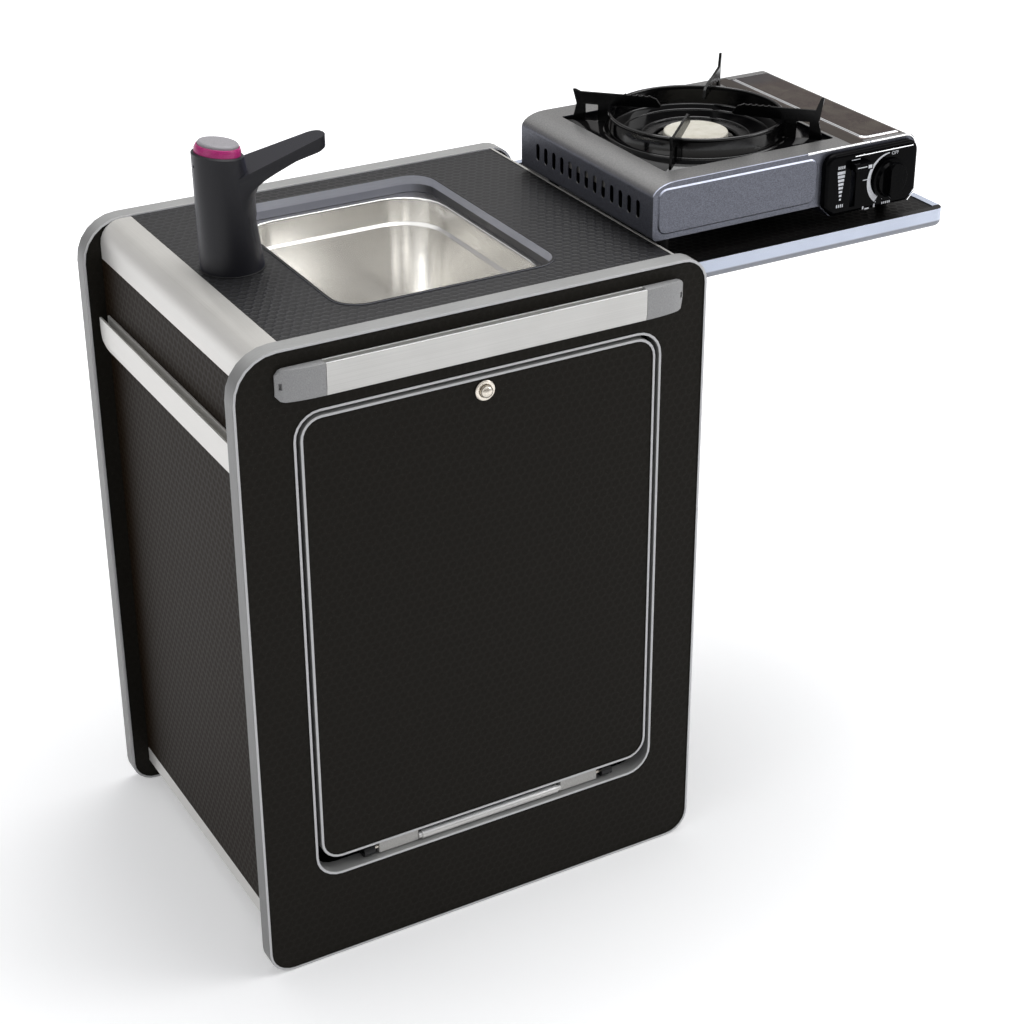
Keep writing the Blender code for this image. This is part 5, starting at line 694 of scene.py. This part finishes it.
# A bright wire trim edges the top along the front, above the control panel. It is bent down at its
# right end, and cut once near the panel's left end.
def push(bm, faces, way):
    """Extrude faces by a vector and return the moved faces."""
    geom = bmesh.ops.extrude_face_region(bm, geom=faces)["geom"]
    bmesh.ops.translate(bm, verts=[g for g in geom if isinstance(g, bmesh.types.BMVert)], vec=way)
    return [g for g in geom if isinstance(g, bmesh.types.BMFace)]


def wire(bm, start, axis, radius, way):
    """Start a round wire at a point and draw it out by a vector. Returns its end face."""
    matrix = Matrix.Translation(start) @ Matrix.Rotation(math.pi / 2, 4, axis)
    disc = bmesh.ops.create_circle(bm, segments=12, radius=radius, cap_ends=True, matrix=matrix)
    return push(bm, [disc["verts"][0].link_faces[0]], way)


def quarter_turn(bm, faces, centre, axis):
    """Bend a wire on from its end face through a quarter turn, and return the new end face."""
    last = bmesh.ops.spin(
        bm, geom=faces, cent=centre, axis=axis, dvec=(0, 0, 0), angle=math.pi / 2, steps=10,
        use_merge=False, use_duplicate=False,
    )["geom_last"]
    return [g for g in last if isinstance(g, bmesh.types.BMFace)]


TRIM_RADIUS, TRIM_TURN, TRIM_GAP, TRIM_DOWN = 0.0016, 0.0137, 0.0012, 0.040
TRIM_SETBACK, TRIM_SUNK, TRIM_OVERHANG, TRIM_CUT = 0.0021, 0.0003, 0.020, 0.064
chrome = drawn(
    "chrome", tone(225, 226, 228), tone(240, 241, 243), 0.1, (200, 200, 200), 1.0, 0.000005
)
panel_low, panel_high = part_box("control_panel")
trim_y, trim_z = stove_low.y + TRIM_SETBACK, stove_top - TRIM_SUNK
trim_start, trim_cut = panel_low.x - TRIM_OVERHANG, panel_low.x + TRIM_CUT
trim_end = stove_high.x - TRIM_TURN - TRIM_SUNK
trim_bm = bmesh.new()
for left, right in ((trim_start, trim_cut), (trim_cut + TRIM_GAP, trim_end)):
    end = wire(trim_bm, (left, trim_y, trim_z), "Y", TRIM_RADIUS, (right - left, 0, 0))
end = quarter_turn(trim_bm, end, (trim_end, trim_y, trim_z - TRIM_TURN), (0, 1, 0))
push(trim_bm, end, (0, 0, -TRIM_DOWN))
new_piece("front_top_trim", trim_bm, chrome, "gas_stove", sharp=50)

# The drip pan is deep-drawn steel in gloss black enamel: a flat plate with a raised rim, a tall
# wind ring with a rolled edge, and a stepped bowl with the burner's hole. The outer edge of the
# rim is painted as a band of bright metal, a painted highlight along the rim.
RIM_GLINT_FROM, RIM_GLINT_TO = -0.0019, -0.0015
black_enamel, tree, shader = new_material("black_enamel", tone(6, 6, 7), 0.07)
spot = put(tree, "TexCoord").outputs["Object"]
peel = put(tree, "TexNoise", {"Vector": spot, "Scale": 260, "Detail": 2}).outputs[0]
haze = put(tree, "TexNoise", {"Vector": spot, "Scale": 40, "Detail": 4}).outputs[0]
pan_middle, pan_half = (pan_low + pan_high) / 2, (pan_high - pan_low) / 2
past = spot
for operation, second in (
    ("SUBTRACT", pan_middle), ("ABSOLUTE", (0, 0, 0)), ("SUBTRACT", pan_half)
):
    past = put(tree, "VectorMath", {0: past, 1: tuple(second)}, operation=operation).outputs[0]
past_edge = put(tree, "SeparateXYZ", {0: past}).outputs
outermost = math_of(tree, "MAXIMUM", past_edge["X"], past_edge["Y"])
# Painted highlight: the rim's outer edge is made bright and metallic.
painted_rim_glint = ranged(tree, outermost, RIM_GLINT_FROM, RIM_GLINT_TO)
enamel = mixed(tree, ranged(tree, haze, 0.4, 0.8), tone(4, 4, 5), tone(11, 10, 10))
enamel = mixed(tree, painted_rim_glint, enamel, tone(186, 184, 180))
tree.links.new(enamel, shader.inputs["Base Color"])
tree.links.new(painted_rim_glint, shader.inputs["Metallic"])
tree.links.new(ranged(tree, haze, 0.3, 0.8, 0.06, 0.2), shader.inputs["Roughness"])
relief(tree, shader, peel, 0.00004)

# Each step of the plate's rim goes inwards and up by its two numbers, and each ledge of the bowl
# has a radius and a depth under the plate.
PAN_SHEET, PLATE_CORNER, RIM_RISE, PLATE_DROP = 0.0008, 0.006, 0.0004, 0.0029
RIM_STEPS = (
    (0.0005, 0.0012), (0.0009, 0.0005), (0.0009, -0.0005), (0.0008, -0.0017),
    (0.0015, 0.0005 - PLATE_DROP),
)
RING_OUT, RING_IN, RING_TOP, ROLL = 0.0985, 0.0960, 0.0172, 0.0020
FOOT_BEAD_OUT, FOOT_BEAD, BOWL_EASE = 0.1046, 0.0016, 0.0012
BOWL_LEDGES = ((0.083, 0.0032), (0.060, 0.0054))
pan_bm = bmesh.new()
at_rim = Matrix.Translation((pan_middle.x, pan_middle.y, stove_top + RIM_RISE))
to_size = Matrix.Diagonal((pan_half.x, pan_half.y, 1, 1))
corners = bmesh.ops.create_grid(
    pan_bm, x_segments=1, y_segments=1, size=1, matrix=at_rim @ to_size
)["verts"]
bmesh.ops.bevel(
    pan_bm, geom=corners, offset=PLATE_CORNER, affect="VERTICES", segments=8, profile=0.5,
    material=-1,
)
inner = list(pan_bm.faces)
for inwards, upwards in RIM_STEPS:
    bmesh.ops.inset_region(
        pan_bm, faces=inner, thickness=inwards, depth=upwards, use_even_offset=True
    )
plate_edges = list(inner[0].edges)
bmesh.ops.delete(pan_bm, geom=inner, context="FACES_ONLY")
old_edges = set(pan_bm.edges)
plate = RIM_RISE - PLATE_DROP
bowl_steps = []
for radius, drop in BOWL_LEDGES:
    bowl_steps.append((radius + BOWL_EASE, plate - drop + BOWL_EASE))
    bowl_steps += bend((radius, plate - drop), BOWL_EASE, 90, 90, 3)
turned(
    pan_bm,
    [
        (FOOT_BEAD_OUT, plate),
        *bend((FOOT_BEAD_OUT - 0.0005 - FOOT_BEAD, plate), FOOT_BEAD, 0, 180, 6),
        (RING_OUT + 0.0004, plate - 0.0006), (RING_OUT, plate), (RING_OUT, RING_TOP - 0.003),
        *bend(((RING_OUT + RING_IN) / 2, RING_TOP), ROLL, -50, 280, 14),
        (RING_IN, RING_TOP - 0.003), *bend((RING_IN - 0.002, plate + 0.001), 0.002, 0, -80, 4),
        *bowl_steps, (0.050, plate - 0.0062), (0.0478, plate - 0.0066),
        (0.0462, plate - 0.0075), (0.0458, plate - 0.0090),
    ],
    (pan_middle.x, pan_middle.y, stove_top), steps=128,
)
round_edges = [
    edge for edge in pan_bm.edges
    if edge not in old_edges and edge.is_boundary
    and all(abs((v.co.xy - pan_middle.xy).length - FOOT_BEAD_OUT) < 0.0001 for v in edge.verts)
]
bmesh.ops.triangle_fill(
    pan_bm, use_beauty=True, use_dissolve=False, edges=plate_edges + round_edges
)
pan_plate = new_piece(
    "drip_pan_plate", pan_bm, black_enamel, "drip_pan", sharp=50, up=True
)
thick = pan_plate.modifiers.new("sheet", "SOLIDIFY")
thick.thickness = PAN_SHEET
thick.offset = -1
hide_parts("drip_pan_with_prongs")

# Four prongs stamped from thick sheet stand on the pan across its corners and are welded to it.
# Each has two legs round a window, a row of teeth along its top, and a horn at its outer end.
prong_enamel = moulded("prong_enamel", tone(3, 3, 4), tone(7, 7, 7), 0.2, 300, 0.00002, 0.16)
OUTER, INNER, LEG, FOOT = 0.1425, 0.0980, 0.015, -0.0022
PRONG_TOP, BAR, TIP, TIP_DROP = 0.031, 0.017, 0.040, 0.010
TOOTH, PITCH, TEETH, FIRST_TOOTH = 0.0016, 0.007, 5, 0.012
PRONG_SHEET, PRONG_EASE = 0.003, 0.0007
TALL_HORN, LOW_HORN, HORN_TOP, HORN_FOOT, WAIST = 0.0145, 0.0025, 0.0035, 0.009, 0.0045
for count, horn in enumerate((TALL_HORN, LOW_HORN, LOW_HORN, TALL_HORN)):
    outline = [
        (OUTER, FOOT), (OUTER - WAIST, BAR), (OUTER, PRONG_TOP + horn),
        (OUTER - HORN_TOP, PRONG_TOP + horn), (OUTER - HORN_FOOT, PRONG_TOP),
    ]
    for tooth in reversed(range(TEETH)):
        root = TIP + FIRST_TOOTH + PITCH * tooth
        outline += [
            (root + PITCH / 2, PRONG_TOP), (root + PITCH / 4, PRONG_TOP + TOOTH), (root, PRONG_TOP)
        ]
    outline += [
        (TIP + 0.006, PRONG_TOP - 0.002), (TIP, PRONG_TOP - TIP_DROP),
        (TIP + 0.002, PRONG_TOP - TIP_DROP - 0.002), (INNER, BAR), (INNER, FOOT),
        (INNER + LEG, FOOT), (INNER + LEG, BAR), (OUTER - LEG, BAR), (OUTER - LEG, FOOT),
    ]
    prong_bm = bmesh.new()
    prong_bm.faces.new([
        prong_bm.verts.new((out, -PRONG_SHEET / 2, stove_top + up)) for out, up in outline
    ])
    bmesh.ops.bevel(
        prong_bm, geom=list(prong_bm.verts), offset=PRONG_EASE, affect="VERTICES", segments=3,
        profile=0.5, material=-1,
    )
    push(prong_bm, list(prong_bm.faces), (0, PRONG_SHEET, 0))
    corner_angle = math.pi / 4 + math.pi / 2 * count
    placed(prong_bm, (pan_middle.x, pan_middle.y, 0), corner_angle, "Z")
    prong = new_piece(f"pan_prong_{count + 1}", prong_bm, prong_enamel, "drip_pan")
    eased(prong, 0.0004, 3)
    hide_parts("drip_pan_with_prongs")

# The burner is a cast alloy head with gas slots under a pressed cap in speckled cream enamel, whose
# rim is turned down all round. It stains a little from the flame.
cream, tree, shader = new_material("speckled_cream", tone(214, 208, 190), 0.42)
spot = put(tree, "TexCoord").outputs["Object"]
fleck = put(tree, "Group", {0: spot}, node_tree=specks)
fleck.inputs["Fineness"].default_value = 700
stain = put(tree, "TexNoise", {"Vector": spot, "Scale": 55, "Detail": 5}).outputs[0]
enamel = mixed(tree, ranged(tree, stain, 0.35, 0.75), tone(204, 201, 190), tone(184, 179, 164))
enamel = mixed(tree, fleck.outputs["Speck"], enamel, tone(120, 112, 98))
tree.links.new(enamel, shader.inputs["Base Color"])
tree.links.new(ranged(tree, stain, *NOISE, 0.36, 0.5), shader.inputs["Roughness"])
relief(tree, shader, stain, 0.00008)
CAP_PROUD, CAP_SHOULDER, CAP_LIP = 0.0018, 0.0022, 0.0008
cap_low, cap_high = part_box("burner_cap")
cap_middle, cap_radius = (cap_low + cap_high) / 2, (cap_high.x - cap_low.x) / 2
cap_rise = cap_high.z - cap_low.z + CAP_PROUD
cap_bm = bmesh.new()
turned(
    cap_bm,
    [
        (0.0, cap_rise), (cap_radius * 0.55, cap_rise - 0.0001),
        (cap_radius - 0.0062, cap_rise - 0.0006), (cap_radius - 0.0046, cap_rise - 0.0002),
        *bend((cap_radius - CAP_SHOULDER, cap_rise - 0.0024), CAP_SHOULDER, 90, -90, 6),
        (cap_radius, 0.0014), *bend((cap_radius - CAP_LIP, 0.0012), CAP_LIP, 0, -90, 4),
        (cap_radius - 0.004, 0.0), (0.0, 0.0),
    ],
    (cap_middle.x, cap_middle.y, cap_low.z),
)
cap = new_piece("burner_cap_enamelled", cap_bm, cream, "gas_stove", sharp=60)
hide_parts("burner_cap")
cast_alloy = moulded("cast_alloy", tone(58, 57, 55), tone(98, 96, 92), 0.5, 500, 0.0002)
cast_alloy.node_tree.nodes["Principled BSDF"].inputs["Metallic"].default_value = 0.85
finished("burner_head", cast_alloy)

# The gas comes from a lacquered steel cartridge that lies under the lid and is pushed into a cast
# regulator behind the control panel.
finished("gas_regulator", cast_alloy)
cartridge_blue = drawn(
    "cartridge_blue", tone(52, 66, 110), tone(72, 90, 142), 0.24, (20, 20, 200), 0.5
)
finished("gas_cartridge", cartridge_blue, edge=0.0004)

# The cartridge lid is polished steel. Its colour is a painted reflection of the dark side of the
# room: brown, mottled, and bluish towards its far end.
polished, tree, shader = new_material("polished_lid", tone(70, 50, 50), 0.07, 1.0)
spot = put(tree, "TexCoord").outputs["Object"]
fleck = put(tree, "TexNoise", {"Vector": spot, "Scale": 900, "Detail": 2}).outputs[0]
painted_mottle = {"Vector": spot, "Scale": 34, "Detail": 2, "Distortion": 0.8}
blotch = put(tree, "TexNoise", painted_mottle).outputs[0]
# Painted reflection: brown with fine flecks, mottled in larger patches.
brown = mixed(tree, ranged(tree, fleck, 0.38, 0.62), tone(78, 63, 61), tone(128, 109, 102))
brown = mixed(tree, ranged(tree, blotch, 0.44, 0.70, 0.0, 0.6), brown, tone(146, 138, 124))
tree.links.new(brown, shader.inputs["Base Color"])
far_end = ("Object", "Y", lid_high.y - 0.050, lid_high.y - 0.030)
# Painted reflection, bluish towards the lid's far end.
tint(polished, tone(82, 82, 94), far_end, amount=0.6)
tree.links.new(ranged(tree, fleck, *NOISE, 0.05, 0.16), shader.inputs["Roughness"])
relief(tree, shader, fleck, 0.00001)
finished("cartridge_lid", polished, edge=0.0004, segments=3)

# Two bright beads are pressed into the lid along its left and front edges, one inside the other,
# and turn at its front corner.
BEAD_RADIUS, BEAD_TURN, BEAD_PITCH = 0.0009, 0.0090, 0.0030
BEAD_LEFT, BEAD_FRONT, BEAD_REAR, BEAD_RIGHT = 0.0034, 0.0135, 0.014, 0.0155
for count in range(2):
    left = lid_low.x + BEAD_LEFT + BEAD_PITCH * count
    front = lid_low.y + BEAD_FRONT + BEAD_PITCH * count
    rear, right = lid_high.y - BEAD_REAR, lid_high.x - BEAD_RIGHT
    turn_radius = BEAD_TURN - BEAD_PITCH * count
    turn_x, turn_y = left + turn_radius, front + turn_radius
    bead_bm = bmesh.new()
    end = wire(bead_bm, (left, rear, lid_high.z), "X", BEAD_RADIUS, (0, turn_y - rear, 0))
    end = quarter_turn(bead_bm, end, (turn_x, turn_y, lid_high.z), (0, 0, 1))
    push(bead_bm, end, (right - turn_x, 0, 0))
    new_piece(f"lid_bead_{count + 1}", bead_bm, chrome, "cartridge_lid", sharp=50)

# The control panel is one gloss black moulding screwed to the case's front. The gas knob and the
# lever that locks the cartridge are moulded in the same black.
gloss_black = moulded("gloss_black", tone(4, 4, 5), tone(8, 8, 9), 0.11, 300, 0.00001, 0.03)
finished("control_panel", gloss_black, edge=0.0006, segments=3)
finished("gas_knob", gloss_black, edge=0.0006, segments=3)
finished("cartridge_lever", gloss_black, edge=0.0005, segments=3)
face_y = panel_low.y
stove_right, shelf_top = stove_high.x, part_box("side_shelf")[1].z

# The heat scale is printed on the panel in white: a wedge of bars that grow towards the top, rows
# of short strokes under and over it, and a line near the panel's top.
printed = moulded("printed_white", tone(214, 216, 220), tone(236, 238, 242), 0.5, 500, 0.00001)
PRINT = 0.00012


def stroke(bm, from_right, height, width, tall, front=face_y):
    """One printed bar, placed by its middle from the stove's right side and above the shelf."""
    middle = Vector((stove_right - from_right, front - PRINT / 2, shelf_top + height))
    size = Matrix.Diagonal((width, PRINT, tall, 1))
    bmesh.ops.create_cube(bm, size=1, matrix=Matrix.Translation(middle) @ size)


BARS, BARS_X, BARS_LOW, BARS_RISE = 8, 0.1083, 0.0305, 0.0309
NARROW, WIDENS, THIN, THICKENS = 0.0024, 0.0081, 0.0022, 0.0012
SHORTS, SHORTS_X, SHORTS_PITCH = 4, 0.1045, 0.0026
scale_bm = bmesh.new()
for count in range(BARS):
    share = count / (BARS - 1)
    height = BARS_LOW + BARS_RISE * share
    stroke(scale_bm, BARS_X, height, NARROW + WIDENS * share, THIN + THICKENS * share)
for height in (0.0230, 0.0675):
    for count in range(SHORTS):
        stroke(scale_bm, SHORTS_X + SHORTS_PITCH * count, height, 0.0014, 0.0034)
stroke(scale_bm, 0.0895, 0.0735, 0.0120, 0.0010)
eased(new_piece("heat_scale", scale_bm, printed, "gas_stove"), 0.00003, 1)

# An arc printed round the left of the knob widens downwards and shows how far the gas is open. One
# short stroke stands beside it.
ARC_OUT, ARC_THIN, ARC_THICK, ARC_STEPS = 0.0308, 0.0012, 0.0070, 40
ARC_START, ARC_SWEEP = math.radians(93), math.radians(139)
knob_low, knob_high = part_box("gas_knob")
knob_middle = (knob_low + knob_high) / 2
start_way = Vector((math.cos(ARC_START), 0, math.sin(ARC_START)))
arc_bm = bmesh.new()
line = [arc_bm.verts.new(knob_middle + start_way * out) for out in (ARC_OUT - ARC_THICK, ARC_OUT)]
edge = arc_bm.edges.new(line)
bmesh.ops.spin(
    arc_bm, geom=[*line, edge], cent=knob_middle, axis=(0, -1, 0), dvec=(0, 0, 0),
    angle=ARC_SWEEP, steps=ARC_STEPS, use_merge=False, use_duplicate=False,
)
for vert in arc_bm.verts:
    spoke = vert.co - knob_middle
    share = (math.atan2(spoke.z, spoke.x) % math.tau - ARC_START) / ARC_SWEEP
    if spoke.length < ARC_OUT - ARC_THICK / 2:
        width = ARC_THIN + (ARC_THICK - ARC_THIN) * share
        vert.co = knob_middle + spoke.normalized() * (ARC_OUT - width)
    vert.co.y = face_y
push(arc_bm, list(arc_bm.faces), (0, -PRINT, 0))
stroke(arc_bm, stove_right - knob_middle.x + ARC_OUT + 0.0030, 0.0475, 0.0060, 0.0010)
new_piece("knob_scale_arc", arc_bm, printed, "gas_stove")

# Round the knob's foot stand small printed marks: a few plain bars, and a row of equal strokes in
# place of small print.
ROW_LEFT, ROW_PITCH, ROW_HEIGHT = 0.0490, 0.0026, 0.0160
foot_bm = bmesh.new()
for from_right, height, width, tall in (
    (0.0755, 0.0150, 0.0020, 0.0034), (0.0700, 0.0132, 0.0060, 0.0018),
    (0.0600, 0.0150, 0.0022, 0.0040), (0.0585, 0.0190, 0.0012, 0.0014),
    (0.0480, 0.0212, 0.0042, 0.0010),
    *((ROW_LEFT - ROW_PITCH * count, ROW_HEIGHT, 0.0016, 0.0026) for count in range(5)),
):
    stroke(foot_bm, from_right, height, width, tall)
new_piece("knob_foot_marks", foot_bm, printed, "gas_stove")

# Over the knob the panel carries the word OFF, printed in the same white. It is drawn in plain
# letters, given the print's thickness, and stood up on the panel's face.
WORD_HEIGHT, WORD_LEFT, WORD_FOOT = 0.0056, 0.0400, 0.0708
words = bpy.data.curves.new("off_word", "FONT")
words.body = "OFF"
words.size = WORD_HEIGHT
words.extrude = PRINT / 2
word = bpy.data.objects.new("off_word_outline", words)
word_bm = bmesh.new()
word_bm.from_mesh(bpy.data.meshes.new_from_object(word))
bpy.data.objects.remove(word)
word_place = (stove_right - WORD_LEFT, face_y - PRINT / 2, shelf_top + WORD_FOOT)
placed(word_bm, word_place, math.pi / 2, "X")
new_piece("knob_off_mark", word_bm, printed, "gas_stove")

# Two bright strips of thin sheet are let into the control panel's face, one along its top and one
# on the chamfer at its lower right.
TOP_TRIM_LEFT, TOP_TRIM_RIGHT, TOP_TRIM_LOW, TOP_TRIM_HIGH = 0.0905, 0.0100, 0.0766, 0.0778
CHAMFER_X, CHAMFER_Z, CHAMFER_HALF, STRIP_HALF = 0.0083, 0.0182, 0.0075, 0.0007
STRIP_PROUD = 0.0003
edge_bm = bmesh.new()
sheet(
    edge_bm, (stove_right - TOP_TRIM_LEFT, face_y - STRIP_PROUD, shelf_top + TOP_TRIM_LOW),
    (stove_right - TOP_TRIM_RIGHT, face_y + 0.0002, shelf_top + TOP_TRIM_HIGH),
)
eased(new_piece("panel_top_trim", edge_bm, chrome, "gas_stove"), 0.0002)
chamfer_bm = bmesh.new()
sheet(
    chamfer_bm, (-CHAMFER_HALF, face_y - STRIP_PROUD, -STRIP_HALF),
    (CHAMFER_HALF, face_y + 0.0006, STRIP_HALF),
)
chamfer_place = (stove_right - CHAMFER_X, 0, shelf_top + CHAMFER_Z)
placed(chamfer_bm, chamfer_place, math.radians(-45), "Y")
eased(new_piece("panel_chamfer_trim", chamfer_bm, chrome, "gas_stove"), 0.0003)

# The lever that locks the cartridge has a printed line and a small square on its front, which move
# with it.
lever_low, lever_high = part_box("cartridge_lever")
lever_middle = stove_right - (lever_low.x + lever_high.x) / 2
lever_foot = lever_low.z - shelf_top
lever_bm = bmesh.new()
stroke(lever_bm, lever_middle + 0.002, lever_foot + 0.0040, 0.0130, 0.0010, lever_low.y)
square_x = stove_right - lever_high.x + 0.0042
stroke(lever_bm, square_x, lever_foot + 0.0036, 0.0050, 0.0040, lever_low.y)
new_piece("lever_marks", lever_bm, printed, "cartridge_lever")
